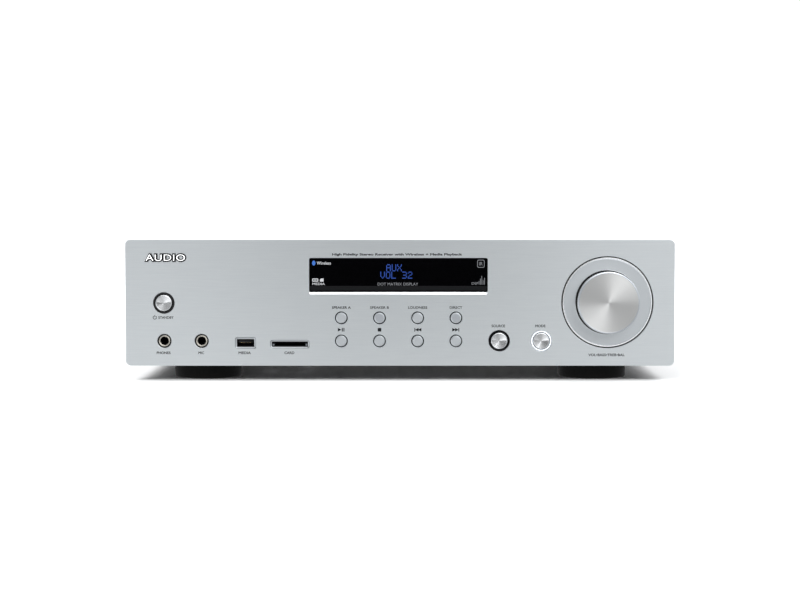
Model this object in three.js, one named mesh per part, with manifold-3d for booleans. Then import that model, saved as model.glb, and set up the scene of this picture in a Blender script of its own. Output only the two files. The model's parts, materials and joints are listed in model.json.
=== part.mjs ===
// A stereo receiver: a low, wide steel case behind a thick aluminium fascia.
// Millimetres, +Z up. The fascia faces -Y, and the origin is the centre of the
// footprint, on the surface that the feet stand on.
import * as THREE from "three";
import { mergeVertices } from "three/addons/utils/BufferGeometryUtils.js";
import Module from "manifold-3d";

const wasm = await Module();
wasm.setup();

// ---- Driving dimensions --------------------------------------------------

const GAP = 0.3; // left between pieces that rest on each other

const FASCIA = { half: 210, low: 12, high: 108.6, front: -138, thick: 5, corner: 4 };
FASCIA.back = FASCIA.front + FASCIA.thick;
const KNOB_FACE = -150;
const REARMOST = 150;

const CASE = { half: 206, low: 14, high: 102, front: -122.4, back: 140, sheet: 1, pan: 1.2 };
const REAR = { outer: 139.4, sheet: 1.2 };
REAR.inner = REAR.outer - REAR.sheet;

const FRAME = { front: FASCIA.back + GAP, back: CASE.front - GAP, web: 2.5, rim: 2.5, corner: 3 };
const BOARD = { front: -118, thick: 1.6, half: 198, low: 20, high: 98 }; // upright control board
const BOARD_STEP = { x: -62, z: 46 }; // it ends higher on the left, over the sockets
const SWITCH = { side: 6, height: 3.5 };

const WINDOW = { x: -1.2, width: 136.5, low: 69.2, high: 94.5, lip: 2.3, recess: 1.4, thick: 3.2 };
const MODULE = { width: 122, height: 21, clearance: 1 }; // the display behind the window
const BADGE = { x: -179.2, z: 94.8, width: 32, height: 6.6, thick: 0.9, corner: 1.2 };
const VOLUME = { x: 158.6, z: 60.7, hole: 34.8, ring: 34.5, throat: 25, knob: 23.6, shaft: 3 };
VOLUME.dish = 2.6; // how far the ring slopes in towards the knob
const KNOB = { wall: 2, chamfer: 0.9, cap: 2.4, hub: 6, boreEnd: 3.4 }; // the hollow knob's walls
const ENCODER = { side: 15, depth: 8, bushing: 4.5, reach: 15 };

const KEY = { hole: 4.85, radius: 4.5, chamfer: 0.9, proud: 1.3, stem: 2, travel: 0.8 };
const SIDES = { key: 12, push: 16, jack: 16, socket: 12, ring: 48, knob: 40, foot: 24 };
const KEY_COLUMNS = [-44.9, -15.7, 13.5, 42.8];
const KEY_ROWS = { upper: 48.7, lower: 31 };
const KEY_NAMES = {
  upper: ["speaker_a_button", "speaker_b_button", "loudness_button", "direct_button"],
  lower: ["play_button", "stop_button", "previous_button", "next_button"],
};

const PUSH = { hole: 8.1, ring: 7.85, bore: 6.6, cap: 6.2, proud: 1.6, stem: 2.6, ringProud: 0.4 };
const STEM_CLEARANCE = 0.6; // round each button's stem, in the frame
const PUSH_PLACES = {
  standby: { x: -180.6, z: 60.1 },
  source: { x: 75.9, z: 31.1 },
  mode: { x: 108.1, z: 31.1 },
};

const JACK = { hole: 5.4, bushing: 4.4, bore: 3.175, recess: 0.8, body: 13, depth: 30 };
const JACK_PLACES = { phones_jack: { x: -180.3, z: 31 }, mic_jack: { x: -151.8, z: 31 } };
const PORT = { x: -118.2, z: 29.4, width: 12.5, height: 5.2, wall: 0.5, depth: 16 };
const CARD = { x: -84.3, z: 28.5, width: 26.6, height: 2.9, wall: 0.6, depth: 28 };
const PORT_RECESS = 1.2;
const PORT_MARGIN = 1.8; // how much larger than a mouth its hole in the fascia is

const FOOT = { x: 151, front: -91.5, rear: 100, radius: 26.4, fillet: 1.6, pocket: 5, pocketTop: 7 };
const SCREW = { z: 24, front: -90, rear: 110 };

const TOP_VENTS = { banks: [-186, 34], rows: [-40, 20], count: 13, pitch: 12, width: 4, length: 48 };
const SIDE_VENTS = { first: -48, count: 9, pitch: 12, width: 4, height: 36, z: 66 };
const PAN_VENTS = { first: -100, rows: [-50, -8, 34, 76], count: 9, pitch: 25, width: 5, length: 32 };
const PAN_WALLS = { side: 14, front: 5, rear: 8 };

const PAN_TOP = CASE.low + CASE.pan + GAP;
const MAIN = { x: [-72, 196], y: [-96, 126], z: 24, thick: 1.6, pillar: 6, inset: 8 };
MAIN.top = MAIN.z + MAIN.thick + GAP;
const TRANSFORMER = { x: -140, y: -10, foot: 116, core: 86, stack: 50, height: 72, coil: 60, coilDepth: 82 };
const SINK = { x: [26, 178], y: [-20, 16], high: 88, base: 5, fins: 15, pitch: 10.7, fin: 2 };
const TRANSISTOR = { width: 20, thick: 5, low: 12, high: 38, places: { left: 64, right: 140 } };
const CAPACITOR = { x: -28, radius: 17.5, height: 50, places: { front: 0, rear: 44 } };
const RIBBON = { x: [-10, 20], z: 62 };

const CELL = { pitchX: 15, pitchZ: 22, columns: 4, width: 12.2, wireHole: 1.9, wireDrop: 10.3 };
const TERMINALS = { x: 10, z: 57, face: 141, pivotY: 132, inner: 124, width: 66, height: 47 };
const SOCKETS = { x: 144, z: 56, columns: 5, pitchX: 18, pitchZ: 20, barrel: 4.15, pin: 1.7, bore: 8 };
const SOCKET_BLOCK = { width: 92, height: 36, depth: 9 };
const INLET = { x: -165, z: 44, width: 24.4, height: 16.6, depth: 16, wall: 1.3, face: 141.6 };
const INLET_FLANGE = { width: 50, height: 24 };
const ROCKER = { x: -118, z: 44, face: 141.4, half: 8, width: 10, tilt: 10, pivot: 1.8 };
const ROCKER_WELL = { depth: 11, back: 17, clearance: 1, wall: 1.2, rim: 3 };

// ---- Geometry helpers ----------------------------------------------------

// A closed three.js geometry as a manifold-3d solid.
function solid(geometry) {
  const bare = geometry.index ? geometry.toNonIndexed() : geometry.clone();
  bare.deleteAttribute("normal");
  bare.deleteAttribute("uv");
  const merged = mergeVertices(bare, 1e-4);
  return new wasm.Manifold(
    new wasm.Mesh({
      numProp: 3,
      vertProperties: new Float32Array(merged.attributes.position.array),
      triVerts: new Uint32Array(merged.index.array),
    }),
  );
}

function geometryOf(made) {
  const { vertProperties, triVerts } = made.getMesh();
  const geometry = new THREE.BufferGeometry();
  geometry.setAttribute("position", new THREE.BufferAttribute(vertProperties, 3));
  geometry.setIndex(new THREE.BufferAttribute(triVerts, 1));
  geometry.computeVertexNormals();
  return geometry;
}

function join(...geometries) {
  return geometryOf(geometries.map(solid).reduce((sum, next) => sum.add(next)));
}

function cut(geometry, ...tools) {
  return geometryOf(tools.map(solid).reduce((rest, tool) => rest.subtract(tool), solid(geometry)));
}

function box([x0, x1], [y0, y1], [z0, z1]) {
  const geometry = new THREE.BoxGeometry(x1 - x0, y1 - y0, z1 - z0);
  return geometry.translate((x0 + x1) / 2, (y0 + y1) / 2, (z0 + z1) / 2);
}

// The span of a size that is centred on a place.
function about(centre, size) {
  return [centre - size / 2, centre + size / 2];
}

function polygon(points) {
  return new THREE.Shape(points.map(([u, v]) => new THREE.Vector2(u, v)));
}

function roundedRect([u0, u1], [v0, v1], radius) {
  const shape = new THREE.Shape();
  shape.absarc(u1 - radius, v0 + radius, radius, -Math.PI / 2, 0);
  shape.absarc(u1 - radius, v1 - radius, radius, 0, Math.PI / 2);
  shape.absarc(u0 + radius, v1 - radius, radius, Math.PI / 2, Math.PI);
  shape.absarc(u0 + radius, v0 + radius, radius, Math.PI, (3 * Math.PI) / 2);
  shape.closePath();
  return shape;
}

function circlePath(u, v, radius, sides) {
  const points = Array.from({ length: sides }, (_, i) => {
    const angle = (2 * Math.PI * i) / sides;
    return new THREE.Vector2(u + radius * Math.cos(angle), v + radius * Math.sin(angle));
  });
  return new THREE.Path(points);
}

function rectPath(u, v, width, height) {
  const [u0, u1] = about(u, width);
  const [v0, v1] = about(v, height);
  return new THREE.Path([
    new THREE.Vector2(u0, v0),
    new THREE.Vector2(u1, v0),
    new THREE.Vector2(u1, v1),
    new THREE.Vector2(u0, v1),
  ]);
}

function extrude(shape, depth) {
  return new THREE.ExtrudeGeometry(shape, { depth, bevelEnabled: false, curveSegments: 6 });
}

// A shape drawn in x and z, from y0 back to y1.
function alongY(shape, [y0, y1]) {
  return extrude(shape, y1 - y0)
    .rotateX(Math.PI / 2)
    .translate(0, y1, 0);
}

// A shape drawn in y and z, from x0 to x1.
function alongX(shape, [x0, x1]) {
  const turn = new THREE.Matrix4().set(0, 0, 1, x0, 1, 0, 0, 0, 0, 1, 0, 0, 0, 0, 0, 1);
  return extrude(shape, x1 - x0).applyMatrix4(turn);
}

// A profile of [radius, y] turned about the Y axis.
function turned(profile, sides) {
  const points = profile.map(([radius, y]) => new THREE.Vector2(radius, y));
  return new THREE.LatheGeometry(points, sides);
}

// A profile of [radius, z] turned about the Z axis.
function upright(profile, sides) {
  return turned(profile, sides).rotateX(Math.PI / 2);
}

function rod(radius, [y0, y1], sides) {
  const profile = [
    [0, y0],
    [radius, y0],
    [radius, y1],
    [0, y1],
  ];
  return turned(profile, sides);
}

// One shape for each step along a row.
function row({ count, pitch, first }, shapeAt) {
  return Array.from({ length: count }, (_, i) => shapeAt(first + i * pitch));
}

// ---- Materials -----------------------------------------------------------

function material(color, roughness, metalness) {
  return new THREE.MeshStandardMaterial({ color, roughness, metalness });
}

const LOOK = {
  brushed: material(0xc3c8ca, 0.35, 0.9),
  spun: material(0xd2d3d2, 0.25, 1),
  dish: material(0xb9bfc3, 0.45, 0.8),
  chrome: material(0xe6e8ea, 0.1, 1),
  gloss: material(0x060607, 0.05, 0),
  black: material(0x141415, 0.5, 0),
  lit: material(0xf4f8ff, 0.3, 0),
  steel: material(0x1b1c1e, 0.45, 0.4),
  zinc: material(0xb8bab8, 0.4, 0.9),
  rubber: material(0x121213, 0.8, 0),
  board: material(0x1f5a34, 0.5, 0),
  glass: material(0x0b0f18, 0.1, 0),
  sinks: material(0x202124, 0.5, 0.7),
  sleeve: material(0x22242c, 0.4, 0),
  ribbon: material(0x9a9ca0, 0.5, 0),
  nickel: material(0xc8c6bd, 0.25, 1),
  red: material(0xa01818, 0.4, 0),
};

const receiver = new THREE.Group();

// Adds a piece whose geometry is drawn about its own place.
function add(name, geometry, look, { x = 0, y = 0, z = 0 } = {}, parent = receiver) {
  const mesh = new THREE.Mesh(geometry, look);
  mesh.name = name;
  mesh.position.set(x, y, z);
  parent.add(mesh);
  return mesh;
}

// ---- Fascia and its trim -------------------------------------------------

function keyPlaces() {
  return Object.values(KEY_ROWS).flatMap((z) => KEY_COLUMNS.map((x) => ({ x, z })));
}

// The hole in front of one of the two ports.
function mouthPath({ x, z, width, height }) {
  return rectPath(x, z, width + PORT_MARGIN, height + PORT_MARGIN);
}

function fascia() {
  const { half, low, high, front, back, corner } = FASCIA;
  const plate = roundedRect([-half, half], [low, high], corner);
  const middle = (WINDOW.low + WINDOW.high) / 2;
  plate.holes.push(rectPath(WINDOW.x, middle, WINDOW.width, WINDOW.high - WINDOW.low));
  plate.holes.push(circlePath(VOLUME.x, VOLUME.z, VOLUME.hole, SIDES.ring));
  for (const { x, z } of keyPlaces()) plate.holes.push(circlePath(x, z, KEY.hole, SIDES.key));
  for (const { x, z } of Object.values(PUSH_PLACES)) {
    plate.holes.push(circlePath(x, z, PUSH.hole, SIDES.push));
  }
  for (const { x, z } of Object.values(JACK_PLACES)) {
    plate.holes.push(circlePath(x, z, JACK.hole, SIDES.jack));
  }
  plate.holes.push(mouthPath(PORT), mouthPath(CARD));

  // The window's lower edge is chamfered to a bright lip.
  const lip = polygon([
    [front - 1, WINDOW.low - WINDOW.lip - 1],
    [front + WINDOW.lip, WINDOW.low],
    [front + WINDOW.lip, WINDOW.low + 1],
    [front - 1, WINDOW.low + 1],
  ]);
  const lipSpan = about(WINDOW.x, WINDOW.width);
  return cut(alongY(plate, [front, back]), alongX(lip, lipSpan));
}

function displayWindow() {
  const front = FASCIA.front + WINDOW.recess;
  const span = about(WINDOW.x, WINDOW.width - 2 * GAP);
  return box(span, [front, front + WINDOW.thick], [WINDOW.low + GAP, WINDOW.high - GAP]);
}

// The display itself stands on the control board, behind the window.
function displayModule() {
  const front = FASCIA.front + WINDOW.recess + WINDOW.thick + GAP;
  const middle = (WINDOW.low + WINDOW.high) / 2;
  return box(about(WINDOW.x, MODULE.width), [front, BOARD.front - GAP], about(middle, MODULE.height));
}

// A plain nameplate with nothing on it.
function badge() {
  const plate = roundedRect(about(0, BADGE.width), about(0, BADGE.height), BADGE.corner);
  return alongY(plate, [FASCIA.front - GAP - BADGE.thick, FASCIA.front - GAP]);
}

function volumeRing() {
  const { front, back } = FASCIA;
  const profile = [
    [VOLUME.throat, front + VOLUME.dish],
    [VOLUME.ring - 1.2, front + 0.3],
    [VOLUME.ring - 0.7, front],
    [VOLUME.ring, front + 0.4],
    [VOLUME.ring, back],
    [VOLUME.throat, back],
    [VOLUME.throat, front + VOLUME.dish],
  ];
  return turned(profile, SIDES.ring);
}

function pushRing() {
  const front = FASCIA.front - PUSH.ringProud;
  const profile = [
    [PUSH.bore, front + 0.3],
    [PUSH.bore + 0.3, front],
    [PUSH.ring - 0.3, front],
    [PUSH.ring, front + 0.3],
    [PUSH.ring, FASCIA.back],
    [PUSH.bore, FASCIA.back],
    [PUSH.bore, front + 0.3],
  ];
  return turned(profile, SIDES.push);
}

// ---- Moulded frame behind the fascia -------------------------------------

function frontFrame() {
  const { front, back, web, rim, corner } = FRAME;
  const spanX = [-CASE.half, CASE.half];
  const spanZ = [CASE.low, CASE.high];
  const rimShape = roundedRect(spanX, spanZ, corner);
  const inside = [
    [spanX[0] + rim, spanX[1] - rim],
    [spanZ[0] + rim, spanZ[1] - rim],
  ];
  rimShape.holes.push(roundedRect(inside[0], inside[1], 1.5));
  const webShape = roundedRect(spanX, spanZ, corner);
  const middle = (WINDOW.low + WINDOW.high) / 2;
  const clear = 2 * MODULE.clearance;
  webShape.holes.push(rectPath(WINDOW.x, middle, MODULE.width + clear, MODULE.height + clear));
  webShape.holes.push(circlePath(VOLUME.x, VOLUME.z, VOLUME.throat, 24));
  for (const { x, z } of keyPlaces()) {
    webShape.holes.push(circlePath(x, z, KEY.stem + STEM_CLEARANCE, 8));
  }
  for (const { x, z } of Object.values(PUSH_PLACES)) {
    webShape.holes.push(circlePath(x, z, PUSH.stem + STEM_CLEARANCE, 8));
  }
  for (const { x, z } of Object.values(JACK_PLACES)) {
    webShape.holes.push(circlePath(x, z, JACK.bushing + GAP, SIDES.jack));
  }
  webShape.holes.push(mouthPath(PORT), mouthPath(CARD));
  return join(alongY(webShape, [front, front + web]), alongY(rimShape, [front + web / 2, back]));
}

// ---- Sockets on the fascia -----------------------------------------------

function jackSocket() {
  const front = FASCIA.front + JACK.recess;
  const bodyFront = FRAME.front + FRAME.web + GAP;
  const side = about(0, JACK.body);
  const bushing = rod(JACK.bushing, [front, bodyFront + 1], SIDES.jack);
  const body = box(side, [bodyFront, front + JACK.depth + 2], side);
  const bore = rod(JACK.bore, [front - 1, front + JACK.depth], SIDES.jack);
  return cut(join(bushing, body), bore);
}

// A box open at the front, with a back of its own thickness.
function openShell({ width, height, wall, depth }, back) {
  const front = FASCIA.front + PORT_RECESS;
  const shell = box(about(0, width + 2 * wall), [front, front + depth], about(0, height + 2 * wall));
  const mouth = box(about(0, width), [front - 1, front + depth - back], about(0, height));
  return cut(shell, mouth);
}

// A metal shell with a flat tongue inside.
function portSocket() {
  const front = FASCIA.front + PORT_RECESS;
  const tongue = box(about(0, 11.2), [front + 1, front + PORT.depth - 1], about(0.9, 1.8));
  return join(openShell(PORT, 2), tongue);
}

function cardSlot() {
  return openShell(CARD, 3);
}

// ---- Knob, buttons and what they work ------------------------------------

function volumeKnob() {
  const skirt = FASCIA.front + 2;
  const ceiling = KNOB_FACE + KNOB.cap;
  const boreEnd = KNOB_FACE + KNOB.boreEnd;
  const bore = VOLUME.shaft + 0.1;
  const profile = [
    [0, KNOB_FACE],
    [VOLUME.knob - KNOB.chamfer, KNOB_FACE],
    [VOLUME.knob, KNOB_FACE + KNOB.chamfer],
    [VOLUME.knob, skirt],
    [VOLUME.knob - KNOB.wall, skirt],
    [VOLUME.knob - KNOB.wall, ceiling],
    [KNOB.hub, ceiling],
    [KNOB.hub, skirt],
    [bore, skirt],
    [bore, boreEnd],
    [0, boreEnd],
  ];
  return turned(profile, SIDES.knob);
}

function volumeShaft() {
  return rod(VOLUME.shaft, [KNOB_FACE + KNOB.boreEnd + 0.1, BOARD.front - 5], 16);
}

function volumeEncoder() {
  const back = BOARD.front - GAP;
  const side = about(0, ENCODER.side);
  const body = box(side, [back - ENCODER.depth, back], side);
  const bushing = rod(ENCODER.bushing, [back - ENCODER.reach, back - ENCODER.depth + 1], 16);
  const bore = rod(VOLUME.shaft + 0.15, [back - ENCODER.reach - 1, back - 3.5], 16);
  return cut(join(body, bushing), bore);
}

// A button's cap and the stem that reaches its switch on the control board.
function buttonShape(size) {
  const face = FASCIA.front - size.proud;
  const shoulder = FRAME.front - GAP - size.travel;
  const end = BOARD.front - SWITCH.height - size.travel - 0.1;
  const profile = [
    [0, face + size.dish],
    [size.radius - size.chamfer, face],
    [size.radius, face + size.chamfer],
    [size.radius, shoulder],
    [size.stem, shoulder],
    [size.stem, end],
    [0, end],
  ];
  return turned(profile, size.sides);
}

function key() {
  return buttonShape({ ...KEY, dish: 0, sides: SIDES.key });
}

function pushCap() {
  return buttonShape({
    radius: PUSH.cap,
    proud: PUSH.proud,
    stem: PUSH.stem,
    chamfer: 0.7,
    dish: 0.5,
    travel: KEY.travel,
    sides: SIDES.push,
  });
}

// The control board carries a switch behind each button.
function controlBoard() {
  const { front, thick, half, low, high } = BOARD;
  const outline = polygon([
    [-half, BOARD_STEP.z],
    [BOARD_STEP.x, BOARD_STEP.z],
    [BOARD_STEP.x, low],
    [half, low],
    [half, high],
    [-half, high],
  ]);
  const board = alongY(outline, [front, front + thick]);
  const switchAt = ({ x, z }) =>
    box(about(x, SWITCH.side), [front - SWITCH.height, front + 0.5], about(z, SWITCH.side));
  const places = [...keyPlaces(), ...Object.values(PUSH_PLACES)];
  return join(board, ...places.map(switchAt));
}

// ---- Case ----------------------------------------------------------------

// Ventilation slots over the heat sink and over the transformer.
function coverVents() {
  const top = [CASE.high - 3, CASE.high + 1];
  const { width, length } = TOP_VENTS;
  const slots = TOP_VENTS.banks.flatMap((first) =>
    TOP_VENTS.rows.flatMap((y) =>
      row({ ...TOP_VENTS, first }, (x) => box(about(x, width), about(y, length), top)),
    ),
  );
  for (const side of [-1, 1]) {
    const span = about(side * (CASE.half - 1), 4);
    const up = about(SIDE_VENTS.z, SIDE_VENTS.height);
    slots.push(...row(SIDE_VENTS, (y) => box(span, about(y, SIDE_VENTS.width), up)));
  }
  return slots;
}

function topCover() {
  const { half, high, low, front, back, sheet } = CASE;
  const bend = 2.2;
  const foot = low + 1;
  const outline = new THREE.Shape();
  outline.moveTo(-half, foot);
  outline.lineTo(-half + sheet, foot);
  outline.absarc(-half + bend, high - bend, bend - sheet, Math.PI, Math.PI / 2, true);
  outline.absarc(half - bend, high - bend, bend - sheet, Math.PI / 2, 0, true);
  outline.lineTo(half - sheet, foot);
  outline.lineTo(half, foot);
  outline.absarc(half - bend, high - bend, bend, 0, Math.PI / 2);
  outline.absarc(-half + bend, high - bend, bend, Math.PI / 2, Math.PI);
  outline.closePath();
  return cut(alongY(outline, [front, back]), ...coverVents());
}

function bottomPan() {
  const { low, front, pan } = CASE;
  const half = CASE.half - CASE.sheet - 0.4;
  const back = REAR.inner - GAP;
  const floor = box([-half, half], [front, back], [low, low + pan]);
  const walls = [
    box([-half, -half + pan], [front, back], [low, low + PAN_WALLS.side]),
    box([half - pan, half], [front, back], [low, low + PAN_WALLS.side]),
    box([-half, half], [front, front + pan], [low, low + PAN_WALLS.front]),
    box([-half, half], [back - pan, back], [low, low + PAN_WALLS.rear]),
  ];
  const drop = [low - 1, low + pan + 1];
  const { width, length } = PAN_VENTS;
  const vents = PAN_VENTS.rows.flatMap((y) =>
    row(PAN_VENTS, (x) => box(about(x, width), about(y, length), drop)),
  );
  return cut(join(floor, ...walls), ...vents);
}

function rearPanel() {
  const half = CASE.half - CASE.sheet - 0.4;
  const sheet = roundedRect([-half, half], [CASE.low + 0.2, CASE.high - CASE.sheet - GAP], 1.5);
  sheet.holes.push(rectPath(TERMINALS.x, TERMINALS.z, TERMINALS.width - 4, TERMINALS.height - 4));
  for (const place of socketPlaces()) {
    sheet.holes.push(circlePath(place.x, place.z, SOCKETS.barrel + 0.5, SIDES.socket));
  }
  const inletHole = 2 * (INLET.wall + 0.5);
  sheet.holes.push(rectPath(INLET.x, INLET.z, INLET.width + inletHole, INLET.height + inletHole));
  const wellHole = 2 * (ROCKER_WELL.clearance / 2 + ROCKER_WELL.wall + 0.5);
  const wellHeight = 2 * ROCKER.half + ROCKER_WELL.clearance;
  sheet.holes.push(rectPath(ROCKER.x, ROCKER.z, ROCKER.width + wellHole, wellHeight + wellHole));
  return alongY(sheet, [REAR.inner, REAR.outer]);
}

// A foot, hollowed for the screw that holds it.
function foot() {
  const { radius, fillet, pocket, pocketTop } = FOOT;
  const top = CASE.low - GAP;
  const profile = [
    [0, pocketTop],
    [pocket, pocketTop],
    [pocket, 0],
    [radius - fillet, 0],
    [radius - fillet * 0.3, fillet * 0.3],
    [radius, fillet],
    [radius, top],
    [0, top],
  ];
  return upright(profile, SIDES.foot);
}

// A pan-head screw that holds the cover's side to the pan's flange. It stands along +Y.
function coverScrew() {
  const head = [
    [0, 0],
    [3.4, 0],
    [3.6, 0.4],
    [3.1, 1.7],
    [1.2, 2.1],
    [0, 2.1],
  ];
  return turned(head, 16);
}

// ---- Inside --------------------------------------------------------------

function transformer() {
  const { stack, height, coilDepth } = TRANSFORMER;
  const limb = 14;
  const base = box(about(0, TRANSFORMER.foot), about(0, stack), [0, 2]);
  const core = box(about(0, TRANSFORMER.core), about(0, stack), [0, height]);
  const coil = box(about(0, TRANSFORMER.coil), about(0, coilDepth), [limb, height - limb]);
  return join(base, core, coil);
}

// The main board stands on four pillars.
function mainBoard() {
  const { x, y, z, thick, pillar, inset } = MAIN;
  const board = box(x, y, [z, z + thick]);
  const pillarAt = (px, py) => box(about(px, pillar), about(py, pillar), [PAN_TOP, z + 0.5]);
  const across = [x[0] + inset, x[1] - inset];
  const along = [y[0] + inset, y[1] - inset];
  return join(board, ...across.flatMap((px) => along.map((py) => pillarAt(px, py))));
}

function heatSink() {
  const { x, y, high, base, fins, pitch, fin } = SINK;
  const plate = box(x, [y[0], y[0] + base], [MAIN.top, high]);
  const finAt = (at) => box(about(at, fin), [y[0] + 1, y[1]], [MAIN.top, high]);
  return join(plate, ...row({ count: fins, pitch, first: x[0] + fin / 2 }, finAt));
}

function outputTransistor() {
  const { width, thick, low, high } = TRANSISTOR;
  return box(about(0, width), [-thick, 0], [low, high]);
}

function filterCapacitor() {
  const { radius, height } = CAPACITOR;
  const profile = [
    [0, 0],
    [radius, 0],
    [radius, height - 1],
    [radius - 1, height],
    [0, height],
  ];
  return upright(profile, 24);
}

// A flat lead from the control board down to the main board.
function ribbonCable() {
  const start = BOARD.front + BOARD.thick + GAP;
  const rest = MAIN.top;
  const strip = polygon([
    [start, RIBBON.z],
    [start + 8, RIBBON.z],
    [start + 28, rest + 1],
    [start + 34, rest + 1],
    [start + 34, rest],
    [start + 27.4, rest],
    [start + 7.4, RIBBON.z - 1],
    [start, RIBBON.z - 1],
  ]);
  return alongX(strip, RIBBON.x);
}

// ---- Rear connections ----------------------------------------------------

function cellPlaces() {
  const places = [];
  for (const [rank, letter] of ["a", "b"].entries()) {
    for (let column = 0; column < CELL.columns; column += 1) {
      const x = TERMINALS.x + (column - (CELL.columns - 1) / 2) * CELL.pitchX;
      const z = TERMINALS.z + 4 + (0.5 - rank) * CELL.pitchZ;
      places.push({ x, z, name: `speaker_${letter}_lever_${column + 1}` });
    }
  }
  return places;
}

// A block of spring terminals: each cell has a pocket for its lever and a hole for the bare wire.
function speakerTerminals() {
  const { x, z, face, inner, width, height, pivotY } = TERMINALS;
  const flange = box(about(x, width), [REAR.outer + GAP, face], about(z, height));
  const body = box(about(x, width - 5), [inner, face - 0.5], about(z, height - 5));
  const pockets = cellPlaces().flatMap((cell) => [
    box(about(cell.x, CELL.width), [pivotY - 4, face + 1], [cell.z - 7, cell.z + 3.9]),
    rod(CELL.wireHole, [pivotY, face + 1], 12).translate(cell.x, 0, cell.z - CELL.wireDrop),
  ]);
  return cut(join(flange, body), ...pockets);
}

// A lever's side view in y and z about its pivot. Pressing the tab down opens the clamp.
function terminalLever() {
  const side = polygon([
    [-2, 2],
    [-2, -2],
    [6, -3],
    [16.8, -1.6],
    [17.4, -0.8],
    [17.4, 1.6],
    [16.8, 2.4],
    [7, 3.2],
  ]);
  return alongX(side, about(0, CELL.width - 0.8));
}

function socketPlaces() {
  const places = [];
  for (let column = 0; column < SOCKETS.columns; column += 1) {
    for (const rank of [-0.5, 0.5]) {
      const x = SOCKETS.x + (column - (SOCKETS.columns - 1) / 2) * SOCKETS.pitchX;
      places.push({ x, z: SOCKETS.z + rank * SOCKETS.pitchZ });
    }
  }
  return places;
}

function lineSockets() {
  const back = REAR.inner - GAP;
  const { width, height, depth } = SOCKET_BLOCK;
  const block = box(about(SOCKETS.x, width), [back - depth, back], about(SOCKETS.z, height));
  const rodsAt = (radius, span, sides) =>
    socketPlaces().map(({ x, z }) => rod(radius, span, sides).translate(x, 0, z));
  const barrels = rodsAt(SOCKETS.barrel, [back - 2, REARMOST], SIDES.socket);
  const bores = rodsAt(SOCKETS.pin, [REARMOST - SOCKETS.bore, REARMOST + 1], 8);
  return cut(join(block, ...barrels), ...bores);
}

// A mains inlet: a flanged cup with three blades standing in it.
function mainsInlet() {
  const { width, height, depth, wall, face } = INLET;
  const flangeSpan = [REAR.outer + GAP, face];
  const flange = box(about(0, INLET_FLANGE.width), flangeSpan, about(0, INLET_FLANGE.height));
  const bodySpan = [face - depth - 3, face - 0.5];
  const body = box(about(0, width + 2 * wall), bodySpan, about(0, height + 2 * wall));
  const cup = box(about(0, width), [face - depth, face + 1], about(0, height));
  const blades = [
    [-7, -2],
    [0, 2],
    [7, -2],
  ].map(([x, z]) => box(about(x, 2), [face - depth - 1, face - 2], about(z, 4)));
  return join(cut(join(flange, body), cup), ...blades);
}

function powerSwitch() {
  const { face, half, width } = ROCKER;
  const { depth, back, clearance, wall, rim } = ROCKER_WELL;
  const around = (extra, span) => box(about(0, width + extra), span, about(0, 2 * half + 1 + extra));
  const flange = around(clearance + 2 * rim, [REAR.outer + GAP, face]);
  const body = around(clearance + 2 * wall, [face - back, face - 0.5]);
  const well = around(clearance, [face - depth, face + 1]);
  return cut(join(flange, body), well);
}

// The rocker turns about a line along X, and stands in its off position at rest.
function rockerShape() {
  const { half, width } = ROCKER;
  const side = polygon([
    [3.6, -half],
    [1.4, -half * 0.35],
    [1.4, half * 0.35],
    [3.6, half],
    [-1, half],
    [-6, 2.5],
    [-6, -2.5],
    [-1, -half],
  ]);
  return alongX(side, about(0, width));
}

// ---- Assembly ------------------------------------------------------------

add("front_panel", fascia(), LOOK.brushed);
add("front_frame", frontFrame(), LOOK.black);
add("display_window", displayWindow(), LOOK.gloss);
add("display_module", displayModule(), LOOK.glass);
add("badge", badge(), LOOK.chrome, { x: BADGE.x, z: BADGE.z });
add("control_board", controlBoard(), LOOK.board);

const volumeAxis = { x: VOLUME.x, z: VOLUME.z };
add("volume_ring", volumeRing(), LOOK.dish, volumeAxis);
add("volume_knob", volumeKnob(), LOOK.spun, volumeAxis);
add("volume_shaft", volumeShaft(), LOOK.zinc, volumeAxis);
add("volume_encoder", volumeEncoder(), LOOK.zinc, volumeAxis);

for (const [rank, names] of Object.entries(KEY_NAMES)) {
  names.forEach((name, i) => add(name, key(), LOOK.brushed, { x: KEY_COLUMNS[i], z: KEY_ROWS[rank] }));
}
for (const [name, place] of Object.entries(PUSH_PLACES)) {
  add(`${name}_ring`, pushRing(), name === "mode" ? LOOK.lit : LOOK.black, place);
  add(`${name}_button`, pushCap(), LOOK.spun, place);
}
for (const [name, place] of Object.entries(JACK_PLACES)) add(name, jackSocket(), LOOK.nickel, place);
add("media_port", portSocket(), LOOK.nickel, { x: PORT.x, z: PORT.z });
add("card_slot", cardSlot(), LOOK.black, { x: CARD.x, z: CARD.z });

add("bottom_pan", bottomPan(), LOOK.zinc);
add("top_cover", topCover(), LOOK.steel);
add("rear_panel", rearPanel(), LOOK.steel);
for (const [side, sign] of Object.entries({ left: -1, right: 1 })) {
  for (const end of ["front", "rear"]) {
    add(`foot_${end}_${side}`, foot(), LOOK.rubber, { x: sign * FOOT.x, y: FOOT[end] });
    const seat = { x: sign * (CASE.half + 0.1), y: SCREW[end], z: SCREW.z };
    const screw = add(`cover_screw_${side}_${end}`, coverScrew(), LOOK.zinc, seat);
    screw.rotation.z = (-sign * Math.PI) / 2;
  }
}

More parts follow.
